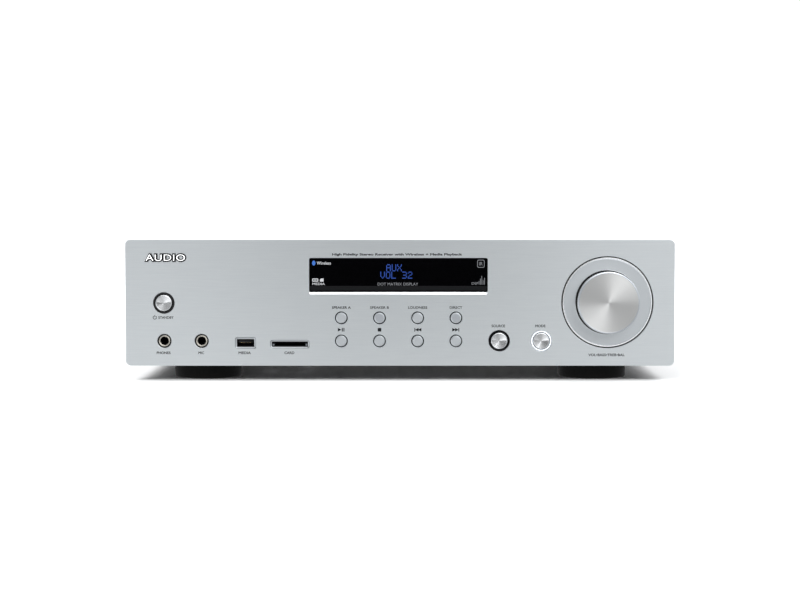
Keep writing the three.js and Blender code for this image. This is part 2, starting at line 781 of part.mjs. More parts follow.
add("transformer", transformer(), LOOK.zinc, { x: TRANSFORMER.x, y: TRANSFORMER.y, z: PAN_TOP });
add("main_board", mainBoard(), LOOK.board);
add("heat_sink", heatSink(), LOOK.sinks);
for (const [side, x] of Object.entries(TRANSISTOR.places)) {
  const seat = { x, y: SINK.y[0] - GAP, z: MAIN.top };
  add(`output_transistor_${side}`, outputTransistor(), LOOK.black, seat);
}
for (const [end, y] of Object.entries(CAPACITOR.places)) {
  add(`filter_capacitor_${end}`, filterCapacitor(), LOOK.sleeve, { x: CAPACITOR.x, y, z: MAIN.top });
}
add("ribbon_cable", ribbonCable(), LOOK.ribbon);

add("speaker_terminals", speakerTerminals(), LOOK.black);
cellPlaces().forEach(({ name, x, z }, i) => {
  add(name, terminalLever(), i % 2 ? LOOK.black : LOOK.red, { x, y: TERMINALS.pivotY, z });
});
add("line_sockets", lineSockets(), LOOK.nickel);
add("mains_inlet", mainsInlet(), LOOK.black, { x: INLET.x, z: INLET.z });
add("power_switch", powerSwitch(), LOOK.black, { x: ROCKER.x, z: ROCKER.z });

const rockerPivot = new THREE.Group();
rockerPivot.position.set(ROCKER.x, ROCKER.face - ROCKER.pivot, ROCKER.z);
rockerPivot.rotation.x = THREE.MathUtils.degToRad(-ROCKER.tilt);
receiver.add(rockerPivot);
add("power_rocker", rockerShape(), LOOK.black, {}, rockerPivot);

export default receiver;
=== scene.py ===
"""A stereo receiver with an aluminium fascia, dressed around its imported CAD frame."""

import json
import math

import bmesh
import bpy
from mathutils import Matrix, Vector


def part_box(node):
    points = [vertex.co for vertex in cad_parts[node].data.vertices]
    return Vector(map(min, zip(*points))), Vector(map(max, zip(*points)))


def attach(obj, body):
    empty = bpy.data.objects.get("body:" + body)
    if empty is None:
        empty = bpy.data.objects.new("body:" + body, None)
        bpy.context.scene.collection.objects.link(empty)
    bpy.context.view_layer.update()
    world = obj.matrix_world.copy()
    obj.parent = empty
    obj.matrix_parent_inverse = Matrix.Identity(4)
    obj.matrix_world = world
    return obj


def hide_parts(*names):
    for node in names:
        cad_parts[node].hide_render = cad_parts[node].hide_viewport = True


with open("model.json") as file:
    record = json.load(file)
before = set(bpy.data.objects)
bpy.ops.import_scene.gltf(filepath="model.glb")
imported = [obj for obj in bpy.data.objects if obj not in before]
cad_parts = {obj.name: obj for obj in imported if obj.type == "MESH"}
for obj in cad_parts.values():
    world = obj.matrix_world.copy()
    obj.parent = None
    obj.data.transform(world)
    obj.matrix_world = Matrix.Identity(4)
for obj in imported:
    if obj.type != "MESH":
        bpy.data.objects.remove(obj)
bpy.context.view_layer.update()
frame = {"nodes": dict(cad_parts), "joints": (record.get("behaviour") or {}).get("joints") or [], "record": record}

MM = 0.001  # shapes below are modelled in millimetres and scaled as they are placed
GAP = 0.3  # the gap that the CAD model keeps between pieces that touch


class Box:
    """A CAD node's box, in millimetres."""

    def __init__(self, node_name):
        low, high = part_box(node_name)
        self.low = low / MM
        self.high = high / MM
        self.centre = (self.low + self.high) / 2
        self.size = self.high - self.low

    def outline(self, radius, margin=0, steps=6):
        """The box seen along Y, with round corners, drawn a margin inside its edges."""
        width = self.size.x - 2 * margin
        height = self.size.z - 2 * margin
        return rounded_rect(self.centre.x, self.centre.z, width, height, radius, steps)


def body_of_node(node_name):
    bodies = frame["record"]["behaviour"]["bodies"]
    return next(body for body, nodes in bodies.items() if node_name in nodes)


FACE = Box("front_panel").low.y  # the fascia's front face
FASCIA_BACK = Box("front_panel").high.y
REAR_FACE = Box("rear_panel").high.y

LABELLED_KEYS = {  # each label and its width
    "speaker_a_button": ("SPEAKER A", 14.4),
    "speaker_b_button": ("SPEAKER B", 14.4),
    "loudness_button": ("LOUDNESS", 14.6),
    "direct_button": ("DIRECT", 9.6),
}
KEYS = [*LABELLED_KEYS, "play_button", "stop_button", "previous_button", "next_button"]
PUSHES = ["standby", "source", "mode"]
JACKS = ["phones_jack", "mic_jack"]
FEET = [f"foot_{end}_{side}" for end in ("front", "rear") for side in ("left", "right")]
LEVERS = [f"speaker_{pair}_lever_{number}" for pair in "ab" for number in (1, 2, 3, 4)]
COVER_SCREWS = [f"cover_screw_{side}_{end}" for side in ("left", "right") for end in ("front", "rear")]

PRINT_DEPTH = 0.05  # how far the printing stands off its surface
WINDOW_LIP = 2.4  # height of the polished chamfer under the window
GROOVE = 0.7  # width of the gap round the volume ring, kept dark by a black sleeve as painted shade
KEY_HOLE = 4.85  # radii of the holes round a small button, a larger button's ring and a jack
PUSH_HOLE = 8.05
JACK_HOLE = 5.4
MOUTHS = {  # width, height and corner radius of each socket's hole, and of its bezel's opening
    "media_port": ((15.8, 8.7, 1.5), (13.4, 6.1, 0.6)),
    "card_slot": ((30.1, 6.3, 2.0), (27.9, 4.2, 0.5)),
}
CAP_DEPTH = 4.0  # from the fascia's face to the back of a button's cap, where its stem begins


# ---- Outlines and profiles ----


def arc(u, v, radius, start, end, steps):
    """Points round (u, v) from one angle to another, in degrees, both ends among them."""
    turns = [math.radians(start + (end - start) * step / steps) for step in range(steps + 1)]
    return [(u + radius * math.cos(turn), v + radius * math.sin(turn)) for turn in turns]


def circle(u, v, radius, steps=48):
    return arc(u, v, radius, 0, 360, steps)[:-1]


def rounded_rect(u, v, width, height, radius, steps=6):
    """A rectangle centred on (u, v) with round corners, anticlockwise."""
    points = []
    for quarter, (side_u, side_v) in enumerate([(1, 1), (-1, 1), (-1, -1), (1, -1)]):
        centre_u = u + side_u * (width / 2 - radius)
        centre_v = v + side_v * (height / 2 - radius)
        points += arc(centre_u, centre_v, radius, 90 * quarter, 90 * quarter + 90, steps)
    return points


def fillet(corners, steps=4):
    """Rounds each (u, v, radius) corner of an open line. A corner of only (u, v) stays sharp."""
    points = [corners[0][:2]]
    for before, corner, after in zip(corners, corners[1:], corners[2:]):
        here = Vector(corner[:2])
        if len(corner) == 2:
            points.append(tuple(here))
            continue
        radius = corner[2]
        towards = Vector(before[:2]) - here
        onwards = Vector(after[:2]) - here
        half = towards.angle(onwards) / 2
        reach = min(radius / math.tan(half), towards.length * 0.49, onwards.length * 0.49)
        bent = reach * math.tan(half)
        start = here + towards.normalized() * reach
        end = here + onwards.normalized() * reach
        centre = here + (towards.normalized() + onwards.normalized()).normalized() * bent / math.sin(half)
        for step in range(steps + 1):
            chord = start.lerp(end, step / steps) - centre
            points.append(tuple(centre + chord.normalized() * bent))
    points.append(corners[-1][:2])
    return points


# ---- Meshes ----

SMOOTH_BELOW = 38  # faces that meet at a smaller angle than this, in degrees, are shaded as one


def bmesh_of(*meshes):
    bm = bmesh.new()
    for mesh in meshes:
        bm.from_mesh(mesh)
    return bm


def mesh_of(bm, name="part"):
    mesh = bpy.data.meshes.new(name)
    bm.to_mesh(mesh)
    bm.free()
    return mesh


def finished(bm):
    """A mesh from bm: faces that lie square to an axis stay flat, and the rest are smooth."""
    bmesh.ops.remove_doubles(bm, verts=bm.verts, dist=1e-5)
    bmesh.ops.recalc_face_normals(bm, faces=bm.faces)
    mesh = mesh_of(bm)
    mesh.set_sharp_from_angle(angle=math.radians(SMOOTH_BELOW))
    for face in mesh.polygons:
        face.use_smooth = max(abs(share) for share in face.normal) < 0.9999
    return mesh


def joined(meshes):
    return mesh_of(bmesh_of(*meshes))


def moved(mesh, x=0, y=0, z=0):
    mesh.transform(Matrix.Translation((x, y, z)))
    return mesh


def join_rings(bm, rings, bands=None):
    """Adds faces from each ring of vertices to the next. bands gives each stretch's material."""
    for index, (near, far) in enumerate(zip(rings, rings[1:])):
        for step in range(len(near)):
            following = (step + 1) % len(near)
            corners = dict.fromkeys([near[step], near[following], far[following], far[step]])
            face = bm.faces.new(list(corners))
            face.material_index = bands[index] if bands else 0


def turned(profile, steps=96, bands=None):
    """Turns a profile of (radius, depth) about the Y axis."""
    bm = bmesh.new()
    rings = []
    for radius, depth in profile:
        if radius < 1e-6:
            rings.append([bm.verts.new((0, depth, 0))] * steps)
        else:
            rings.append([bm.verts.new((u, depth, v)) for u, v in circle(0, 0, radius, steps)])
    join_rings(bm, rings, bands)
    return finished(bm)


def turned_at(place, profile, steps=96, bands=None):
    """A turned mesh whose axis runs through a place."""
    return moved(turned(profile, steps, bands), place.x, 0, place.z)


def lofted(sections, closed=False):
    """Joins outlines of one length, each (points in x and z, depth), and caps the ends if open."""
    bm = bmesh.new()
    rings = [[bm.verts.new((u, depth, v)) for u, v in points] for points, depth in sections]
    if closed:
        rings.append(rings[0])
    else:
        bm.faces.new(rings[0])
        bm.faces.new(rings[-1])
    join_rings(bm, rings)
    return finished(bm)


def solid_of(curve):
    """A flat curve or text as a mesh that stands in x and z and faces -Y."""
    holder = bpy.data.objects.new("holder", curve)
    mesh = bpy.data.meshes.new_from_object(holder)
    bpy.data.objects.remove(holder)
    bm = bmesh_of(mesh)
    bmesh.ops.transform(bm, matrix=Matrix.Rotation(math.radians(90), 4, "X"), verts=bm.verts)
    return finished(bm)


def plate(outline, holes, front, back, bevel=0.3, bevel_steps=2):
    """A plate drawn in x and z with holes in it, its edges rounded."""
    curve = bpy.data.curves.new("outline", "CURVE")
    curve.dimensions = "2D"
    curve.fill_mode = "BOTH"
    curve.extrude = abs(back - front) / 2 - bevel
    curve.bevel_depth = bevel
    curve.bevel_resolution = bevel_steps
    curve.offset = -bevel
    for ring in [outline, *holes]:
        spline = curve.splines.new("POLY")
        spline.points.add(len(ring) - 1)
        for point, (u, v) in zip(spline.points, ring):
            point.co = (u, v, 0, 1)
        spline.use_cyclic_u = True
    return moved(solid_of(curve), y=(front + back) / 2)


def block(low, high, bevel):
    """A box between two corners, its edges rounded unless bevel is 0."""
    low, high = Vector(low), Vector(high)
    bm = bmesh.new()
    bmesh.ops.create_cube(bm, size=1)
    bmesh.ops.scale(bm, vec=high - low, verts=bm.verts)
    bmesh.ops.translate(bm, vec=(low + high) / 2, verts=bm.verts)
    if bevel:
        bmesh.ops.bevel(bm, geom=bm.edges[:], offset=bevel, segments=2, affect="EDGES", profile=0.5)
    return finished(bm)


def swept(outline, low, high, bevel=0.3):
    """An outline in y and z carried along x, its edges rounded."""
    mesh = plate(outline, [], low, high, bevel)
    mesh.transform(Matrix(((0, 1, 0, 0), (1, 0, 0, 0), (0, 0, 1, 0), (0, 0, 0, 1))))
    mesh.flip_normals()  # swapping two axes turned its faces inwards
    return mesh


def word_mesh(words, depth, **settings):
    """Words in the built-in typeface, of a depth along Y."""
    curve = bpy.data.curves.new("words", "FONT")
    curve.body = words
    curve.extrude = depth / 2
    for setting, value in settings.items():
        setattr(curve, setting, value)
    return solid_of(curve)


def extent(mesh, axis):
    """The least and the most of a mesh along an axis, x or z."""
    places = [getattr(vertex.co, axis) for vertex in mesh.vertices]
    return min(places), max(places)


CAPITAL = extent(word_mesh("H", 0), "z")[1]  # how high a capital stands at size 1


def lettering(words, x, z, height, width=0, bold=0.022, facing_rear=False):
    """Raised words centred on (x, z), standing on the y 0 plane and stretched to a width if given."""
    mesh = word_mesh(words, PRINT_DEPTH, bevel_depth=bold, bevel_resolution=0, resolution_u=4)
    left, right = extent(mesh, "x")
    scale = height / CAPITAL
    stretch = width / (right - left) if width else scale
    mesh.transform(Matrix.Diagonal((stretch, 1, scale, 1)))
    moved(mesh, -stretch * (left + right) / 2, -PRINT_DEPTH / 2, -height / 2)
    if facing_rear:
        mesh.transform(Matrix.Rotation(math.pi, 4, "Z"))
    return moved(mesh, x, 0, z)


def shape_print(outline, depth=PRINT_DEPTH):
    """A printed flat shape, standing on the y 0 plane."""
    return plate(outline, [], -depth, 0, bevel=0)


def line_print(x, z, outer, inner, front=-PRINT_DEPTH):
    """A printed line between two rounded rectangles, each a width, height and corner radius."""
    hole = rounded_rect(x, z, *inner)
    return plate(rounded_rect(x, z, *outer), [hole], front, front + PRINT_DEPTH, bevel=0)


# ---- Materials ----

NOISE_RANGE = (0.25, 0.75)  # where most of a noise's values lie
TONE_PLACES = (0.3, 0.7)  # where on a noise the two colours of a tint stand


def node(owner, kind, inputs=(), **settings):
    """Adds a shader node. inputs gives each socket a value, or the output that feeds it."""
    made = owner.node_tree.nodes.new("ShaderNode" + kind)
    for setting, value in settings.items():
        setattr(made, setting, value)
    for socket, value in dict(inputs).items():
        if isinstance(value, bpy.types.NodeSocket):
            owner.node_tree.links.new(value, made.inputs[socket])
        else:
            made.inputs[socket].default_value = value
    return made


def principled(name, colour, roughness, **sockets):
    """A material. Sockets are named with underscores for spaces."""
    material = bpy.data.materials.new(name)
    material.use_nodes = True
    sockets |= {"Base Color": (*colour, 1), "Roughness": roughness}
    shader = material.node_tree.nodes["Principled BSDF"]
    for socket, value in sockets.items():
        shader.inputs[socket.replace("_", " ")].default_value = value
    return material


def feed(material, socket, output):
    """Links a node's output to one of the shader's sockets."""
    shader = material.node_tree.nodes["Principled BSDF"]
    material.node_tree.links.new(output, shader.inputs[socket])


def noise(material, per_metre, detail=2):
    """Noise with this many grains per metre: one number, or one each for x, y and z."""
    grains = per_metre if isinstance(per_metre, tuple) else (per_metre,) * 3
    place = node(material, "TexCoord").outputs["Object"]
    mapping = node(material, "Mapping", {"Vector": place, "Scale": grains})
    inputs = {"Vector": mapping.outputs["Vector"], "Scale": 1, "Detail": detail}
    return node(material, "TexNoise", inputs).outputs["Fac"]


def ring_noise(material, rings):
    """Noise in rings round the middle of a turned piece, with this many rings across it."""
    place = node(material, "TexCoord").outputs["Generated"]
    centred = node(material, "VectorMath", {0: place, 1: (0.5, 0.5, 0.5)}, operation="SUBTRACT")
    flat = node(material, "VectorMath", {0: centred.outputs[0], 1: (rings, 0, rings)}, operation="MULTIPLY")
    radius = node(material, "VectorMath", {0: flat.outputs[0]}, operation="LENGTH").outputs["Value"]
    grain = node(material, "TexNoise", noise_dimensions="1D", inputs={"W": radius, "Scale": 1, "Detail": 3})
    return grain.outputs["Fac"]


def drive(material, pattern, bump=None, tones=None, **spans):
    """Lets a pattern run sockets between two values, and the bump (strength, metres) and two tones."""
    for socket, (least, most) in spans.items():
        ends = {"From Min": NOISE_RANGE[0], "From Max": NOISE_RANGE[1], "To Min": least, "To Max": most}
        scaled = node(material, "MapRange", {"Value": pattern, **ends})
        feed(material, socket.replace("_", " "), scaled.outputs["Result"])
    if bump:
        inputs = {"Height": pattern, "Strength": bump[0], "Distance": bump[1]}
        feed(material, "Normal", node(material, "Bump", inputs).outputs["Normal"])
    if tones:
        ramp = node(material, "ValToRGB", {"Fac": pattern})
        for element, place, tone in zip(ramp.color_ramp.elements, TONE_PLACES, tones):
            element.position = place
            element.color = (*tone, 1)
        feed(material, "Base Color", ramp.outputs["Color"])
    return material


def grained_round(material, axis):
    """Lets the marks on a metal run round an axis."""
    tangent = node(material, "Tangent", direction_type="RADIAL", axis=axis)
    feed(material, "Tangent", tangent.outputs["Tangent"])
    return material


def brushed_aluminium():
    """Long fine scratches along x."""
    directed = {"Metallic": 1, "Anisotropic": 0.4, "Anisotropic_Rotation": 0.25}
    material = principled("brushed_aluminium", (0.88, 0.92, 0.94), 0.33, **directed)
    drive(material, noise(material, (40, 100, 1300), 3), tones=((0.87, 0.91, 0.93), (0.905, 0.945, 0.96)))
    drive(material, noise(material, (60, 400, 5200), 3), bump=(0.12, 0.00002), Roughness=(0.28, 0.38))
    return grained_round(material, "Z")


def spun_aluminium(name, rings, roughness, anisotropy, colour=(0.86, 0.86, 0.85)):
    """Fine turning marks in rings, which gather reflections into wedges."""
    directed = {"Metallic": 1, "Anisotropic": anisotropy, "Anisotropic_Rotation": 0.25}
    material = principled(name, colour, roughness, **directed)
    span = (roughness * 0.85, roughness * 1.15)
    drive(material, ring_noise(material, rings), bump=(0.08, 0.00001), Roughness=span)
    return grained_round(material, "Y")


def satin_aluminium(name="satin_aluminium", colour=(0.79, 0.825, 0.85)):
    """A fine blasted grain with no direction."""
    material = principled(name, colour, 0.42, Metallic=1)
    return drive(material, noise(material, 5000), bump=(0.1, 0.00002), Roughness=(0.38, 0.46))


def polished_aluminium():
    """Faint lines along x, left by the wheel."""
    material = principled("polished_aluminium", (0.9, 0.91, 0.92), 0.12, Metallic=1)
    return drive(material, noise(material, (30, 3000, 3000)), Roughness=(0.08, 0.18))


def gloss_black(name, colour=(0.0006, 0.0006, 0.0008)):
    """Smooth and deep, with the faintest haze from wiping."""
    material = principled(name, colour, 0.05, Specular_IOR_Level=0.3)
    return drive(material, noise(material, (40, 40, 90), 4), Roughness=(0.03, 0.07))


def moulded_black(name="moulded_black", colour=(0.012, 0.012, 0.013), roughness=0.5, shine=0.4):
    """Spark-eroded plastic."""
    material = principled(name, colour, roughness, Specular_IOR_Level=shine)
    span = (roughness - 0.08, roughness + 0.1)
    return drive(material, noise(material, 2500), bump=(0.25, 0.00004), Roughness=span)


def coloured_plastic(name, colour):
    material = principled(name, colour, 0.35)
    return drive(material, noise(material, 900, 3), Roughness=(0.28, 0.42))


def powder_coat():
    """Black paint with a fine orange peel."""
    material = principled("powder_coat", (0.013, 0.013, 0.014), 0.45, Specular_IOR_Level=0.4)
    drive(material, noise(material, 25, 3), tones=((0.011, 0.011, 0.012), (0.015, 0.015, 0.016)))
    return drive(material, noise(material, 1400), bump=(0.35, 0.00008), Roughness=(0.4, 0.52))


def zinc_plate():
    """Pale steel with a cloudy passivated sheen."""
    material = principled("zinc_plate", (0.62, 0.62, 0.6), 0.38, Metallic=1)
    tones = (0.55, 0.56, 0.55), (0.68, 0.67, 0.63)
    return drive(material, noise(material, 60, 5), tones=tones, Roughness=(0.3, 0.48))


def plated(name, colour):
    """Bright plating, a little hazy."""
    material = principled(name, colour, 0.18, Metallic=1)
    return drive(material, noise(material, 700, 3), Roughness=(0.126, 0.27))


def ink(name, colour):
    material = principled(name, colour, 0.6, Specular_IOR_Level=0.15)
    return drive(material, noise(material, 4000, 1), Roughness=(0.5, 0.7))


def lit(name, colour, strength):
    """A dark surface that gives its own light, a little unevenly."""
    material = principled(name, (0.01, 0.01, 0.011), 0.4, Emission_Color=(*colour, 1))
    return drive(material, noise(material, 300), Emission_Strength=(strength * 0.94, strength * 1.06))


def circuit_board():
    """Green mask with paler tracks under it."""
    material = principled("circuit_board", (0.02, 0.12, 0.05), 0.35)
    tones = (0.012, 0.085, 0.035), (0.03, 0.16, 0.07)
    return drive(material, noise(material, 120, 0), bump=(0.2, 0.00005), tones=tones)


def laminated_iron():
    """Stacked steel sheets, varnished."""
    material = principled("laminated_iron", (0.1, 0.09, 0.085), 0.5, Metallic=0.7)
    tones = (0.05, 0.045, 0.042), (0.16, 0.145, 0.135)
    return drive(material, noise(material, (3, 1800, 3)), bump=(0.6, 0.0001), tones=tones)


def ribbed_lead():
    """Grey wires side by side in one flat strip."""
    material = principled("ribbed_lead", (0.45, 0.46, 0.48), 0.5)
    tones = (0.3, 0.31, 0.33), (0.5, 0.51, 0.53)
    return drive(material, noise(material, (790, 2, 2), 0), bump=(0.7, 0.0002), tones=tones)


BRUSHED = brushed_aluminium()
KNOB_SPIN = spun_aluminium("knob_spin", 260, 0.36, 0.85)
CAP_SPIN = spun_aluminium("cap_spin", 70, 0.2, 1.0, (0.92, 0.93, 0.94))
SATIN = satin_aluminium()
# a darker copy of the satin aluminium: painted shade on the knob's bevel and on two of the keys
SATIN_SHADED = satin_aluminium("satin_dark", (0.66, 0.69, 0.73))
POLISHED = polished_aluminium()
WINDOW_BLACK = gloss_black("window_black")
RING_BLACK = gloss_black("ring_black", (0.003, 0.003, 0.0035))
BLACK = moulded_black()
FOOT_BLACK = moulded_black("foot_black", (0.0035, 0.0032, 0.003), 0.75, 0.2)
COAT = powder_coat()
ZINC = zinc_plate()
NICKEL = plated("nickel_plate", (0.72, 0.68, 0.6))
GOLD = plated("gold_plate", (0.83, 0.62, 0.3))
DARK_INK = ink("dark_ink", (0.006, 0.0065, 0.0075))
WHITE_INK = ink("white_ink", (0.75, 0.76, 0.77))
# painted reflection: a grey a shade paler than the window's black, for the table mirrored along its lower edge
REFLECTION_GREY = ink("border_grey", (0.0032, 0.0034, 0.004))
RING_LIGHT = lit("ring_light", (0.86, 0.93, 1.0), 1.5)
DOT_BLUE = lit("dot_blue", (0.008, 0.075, 0.46), 1.0)
ICON_BLUE = lit("icon_blue", (0.03, 0.16, 0.6), 1.0)
# printed marks round the display, made to glow: painted light
GLOWING_PRINT_WHITE = lit("icon_white", (0.75, 0.77, 0.8), 0.85)
GLOWING_PRINT_GREY = lit("icon_grey", (0.28, 0.29, 0.31), 0.8)
RED = coloured_plastic("red_plastic", (0.45, 0.012, 0.012))
WHITE = coloured_plastic("white_plastic", (0.75, 0.75, 0.72))
# painted reflection: a white that stands in for the nameplate's bright chrome
REFLECTION_WHITE = coloured_plastic("white_enamel", (0.86, 0.87, 0.87))
GREY = coloured_plastic("grey_plastic", (0.09, 0.1, 0.11))


# ---- Pieces ----


def piece(name, mesh, finishes, body="case", replaces=()):
    """Adds a mesh, modelled in millimetres, as a piece that rides on a body."""
    mesh.transform(Matrix.Scale(MM, 4))
    mesh.name = name
    thing = bpy.data.objects.new(name, mesh)
    bpy.context.scene.collection.objects.link(thing)
    for finish in finishes if isinstance(finishes, list) else [finishes]:
        mesh.materials.append(finish)
    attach(thing, body)
    if replaces:
        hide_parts(*replaces)


def dress(name, finish):
    """Gives a CAD node that keeps its shape a better material."""
    carried = frame["nodes"][name]
    carried.data.materials.clear()
    carried.data.materials.append(finish)


# ---- Fascia ----


def window_opening():
    """Centre x, width, and the low and high edges of the hole that the window sits in."""
    pane = Box("display_window")
    return pane.centre.x, pane.size.x + 2 * GAP, pane.low.z - GAP, pane.high.z + GAP


def fascia_holes():
    x, width, low, high = window_opening()
    low -= WINDOW_LIP
    holes = [rounded_rect(x, (low + high) / 2, width, high - low, 1.3)]
    round_holes = [("volume_ring", Box("volume_ring").size.x / 2 + GROOVE, 160)]
    round_holes += [(name, KEY_HOLE, 48) for name in KEYS]
    round_holes += [(f"{name}_ring", PUSH_HOLE, 64) for name in PUSHES]
    round_holes += [(name, JACK_HOLE, 48) for name in JACKS]
    for name, radius, steps in round_holes:
        centre = Box(name).centre
        holes.append(circle(centre.x, centre.z, radius, steps))
    for name, (mouth, _) in MOUTHS.items():
        centre = Box(name).centre
        holes.append(rounded_rect(centre.x, centre.z, *mouth))
    return holes


def fascia():
    outline = Box("front_panel").outline(radius=4.0, steps=12)
    mesh = plate(outline, fascia_holes(), FACE, FASCIA_BACK, bevel=0.3, bevel_steps=3)
    piece("fascia", mesh, BRUSHED, replaces=["front_panel"])


def window_lip():
    """The polished chamfer along the lower edge of the window's hole."""
    x, width, top, _ = window_opening()
    seam = 0.02  # it stops this far short of the hole's edges
    foot, head, back = top - WINDOW_LIP + seam, top - 0.1, FASCIA_BACK - 0.1
    side = [(FACE + 0.12, foot), (FACE + 2.3, head), (back, head), (back, foot)]
    mesh = swept(side, x - width / 2 + seam, x + width / 2 - seam, bevel=0.02)
    piece("window_lip", mesh, POLISHED)


def window():
    pane = Box("display_window")
    mesh = plate(pane.outline(1.1), [], pane.low.y, pane.high.y, 0.12)
    piece("window", mesh, WINDOW_BLACK, replaces=["display_window"])


def mouth_bezel(name):
    """A separate frame round a socket's mouth, sloping a little inwards."""
    centre = Box(name).centre
    (width, height, radius), opening = MOUTHS[name]
    outer = rounded_rect(centre.x, centre.z, width - 0.4, height - 0.4, radius)
    edge = rounded_rect(centre.x, centre.z, width - 0.7, height - 0.7, radius - 0.15)
    inner = rounded_rect(centre.x, centre.z, *opening)
    front = [(outer, FACE + 0.2), (edge, FACE + 0.02), (inner, FACE + 0.3)]
    mesh = lofted([*front, (inner, FASCIA_BACK), (outer, FASCIA_BACK)], closed=True)
    piece(f"{name}_bezel", mesh, SATIN)


# ---- Printing on the fascia ----


def triangle(x, z, size, direction=1):
    base, half = x - direction * size / 2, size / 2
    return [(base, z + half), (base, z - half), (x + direction * half, z)]


def bar(x, z, width, height):
    return rounded_rect(x, z, width, height, min(width, height) * 0.08, 1)


def transport_symbols():
    """Play and pause, stop, and the two skips, above the lower row of buttons."""
    height, rise = 2.7, 8.6
    play, stop = Box("play_button").centre, Box("stop_button").centre
    shapes = [triangle(play.x - 1.3, play.z + rise, height)]
    shapes += [bar(play.x + offset, play.z + rise, 0.75, height) for offset in (0.75, 2.0)]
    shapes.append(bar(stop.x, stop.z + rise, height, height))
    for name, direction in [("previous_button", -1), ("next_button", 1)]:
        spot = Box(name).centre
        for offset in (-1.5, 0.7):
            shapes.append(triangle(spot.x + direction * offset, spot.z + rise, height, direction))
        shapes.append(bar(spot.x + direction * 2.2, spot.z + rise, 0.6, height))
    return [shape_print(shape) for shape in shapes]


def standby_symbol(x, z):
    """A broken ring with a short stroke through its gap."""
    radius, stroke = 1.5, 0.46
    start, end, steps = 125, 415, 28
    outer = arc(x, z, radius, start, end, steps)
    inner = arc(x, z, radius - stroke, start, end, steps)
    return [shape_print(outer + inner[::-1]), shape_print(bar(x, z + 1.0, stroke, 1.7))]


def fascia_printing():
    """Labels, each placed by its distance right and up from a node's middle, and the symbols."""
    labels = [(name, text, 0, 7.9, 1.75, width) for name, (text, width) in LABELLED_KEYS.items()]
    labels += [
        ("source_ring", "SOURCE", -0.7, 11.4, 1.85, 10.4),
        ("mode_ring", "MODE", -0.7, 11.4, 1.85, 7.8),
        ("standby_ring", "STANDBY", 1.6, -11.1, 1.8, 11.7),
        ("volume_ring", "VOL•BASS•TREB•BAL", -0.5, -40.4, 1.8, 27.8),
    ]
    lower = Box("phones_jack").centre.z - 9.1  # the labels under the sockets share this height
    for name, text, right, width in [
        ("phones_jack", "PHONES", -0.7, 10.6),
        ("mic_jack", "MIC", -0.4, 4.3),
        ("media_port", "MEDIA", -0.7, 9.4),
        ("card_slot", "CARD", -0.4, 7.6),
    ]:
        labels.append((name, text, right, lower - Box(name).centre.z, 1.8, width))
    prints = transport_symbols()
    for name, text, right, up, height, width in labels:
        centre = Box(name).centre
        prints.append(lettering(text, centre.x + right, centre.z + up, height, width))
    standby = Box("standby_ring").centre
    prints += standby_symbol(standby.x - 7.0, standby.z - 11.1)
    x, _, _, high = window_opening()
    title = "High Fidelity Stereo Receiver with Wireless + Media Playback"
    prints.append(lettering(title, x - 0.9, high + 2.8, 1.55, 99.4, bold=0.035))
    piece("fascia_printing", moved(joined(prints), y=FACE), DARK_INK)


def nameplate_letters(bold, width, height, front, back):
    """The plain word that stands where a nameplate would, between two depths."""
    centre = Box("badge").centre
    mesh = word_mesh("AUDIO", back - front, offset=bold, space_character=1.08)
    left, right = extent(mesh, "x")
    bottom, top = extent(mesh, "z")
    stretch = width / (right - left)
    scale = height / (top - bottom)
    mesh.transform(Matrix.Diagonal((stretch, 1, scale, 1)))
    x = centre.x - stretch * (left + right) / 2
    z = centre.z - scale * (bottom + top) / 2
    return moved(mesh, x, FACE + (front + back) / 2, z)


def nameplate():
    """White letters on a black edge that follows them: a painted reflection in place of bright chrome, on a
    painted shadow edge along their sides.
    """
    # the black edge is painted shade along the letters' sides
    edge = nameplate_letters(0.1, 32.0, 6.7, -0.7, 0)
    piece("nameplate_edge", edge, RING_BLACK, replaces=["badge"])
    face = nameplate_letters(-0.008, 29.9, 4.8, -0.95, -0.65)
    piece("nameplate", face, REFLECTION_WHITE)


# ---- Display ----

DOT_ROWS = {
    "A": "01110 10001 10001 11111 10001 10001 10001",
    "U": "10001 10001 10001 10001 10001 10001 01110",
    "X": "10001 10001 01010 00100 01010 10001 10001",
    "V": "10001 10001 10001 10001 10001 01010 00100",
    "O": "01110 10001 10001 10001 10001 10001 01110",
    "L": "10000 10000 10000 10000 10000 10000 11111",
    "3": "11110 00001 00001 01110 00001 00001 11110",
    "2": "01110 10001 00001 00110 01000 10000 11111",
    " ": "00000 00000 00000 00000 00000 00000 00000",
}
DOT_PITCH = (0.7, 0.775)
DOT_SIZE = (0.6, 0.66)
LIT_DEPTH = 0.04  # how far the lit dots and the lamp stand off the glass


def dot_text(words, x, z):
    """Dots of a 5 by 7 matrix; (x, z) is the first character's top left dot."""
    dots = []
    for place, letter in enumerate(words):
        for row, line in enumerate(DOT_ROWS[letter].split()):
            for column, mark in enumerate(line):
                if mark == "1":
                    at = (x + (6 * place + column) * DOT_PITCH[0], z - row * DOT_PITCH[1])
                    dots.append(shape_print(rounded_rect(*at, *DOT_SIZE, 0.12, 1), LIT_DEPTH))
    return dots


def media_icons(x, z):
    """A socket and a card, as two small plain pictures."""
    socket = [line_print(x, z, (4.6, 2.4, 0.5), (3.4, 1.3, 0.3)), shape_print(bar(x, z, 2.2, 0.5))]
    left, right, low, high, cut = x + 3.6, x + 6.4, z - 1.2, z + 1.2, 0.8
    card = [(left, low), (right, low), (right, high), (left + cut, high), (left, high - cut)]
    return [*socket, shape_print(card)]


def remote_icon(x, z):
    """A rounded square round the letters IR, over the remote control's eye."""
    ring = line_print(x, z, (5.6, 6.0, 1.3), (4.8, 5.2, 0.95))
    return [ring, lettering("IR", x, z, 2.6, 2.7, bold=0)]


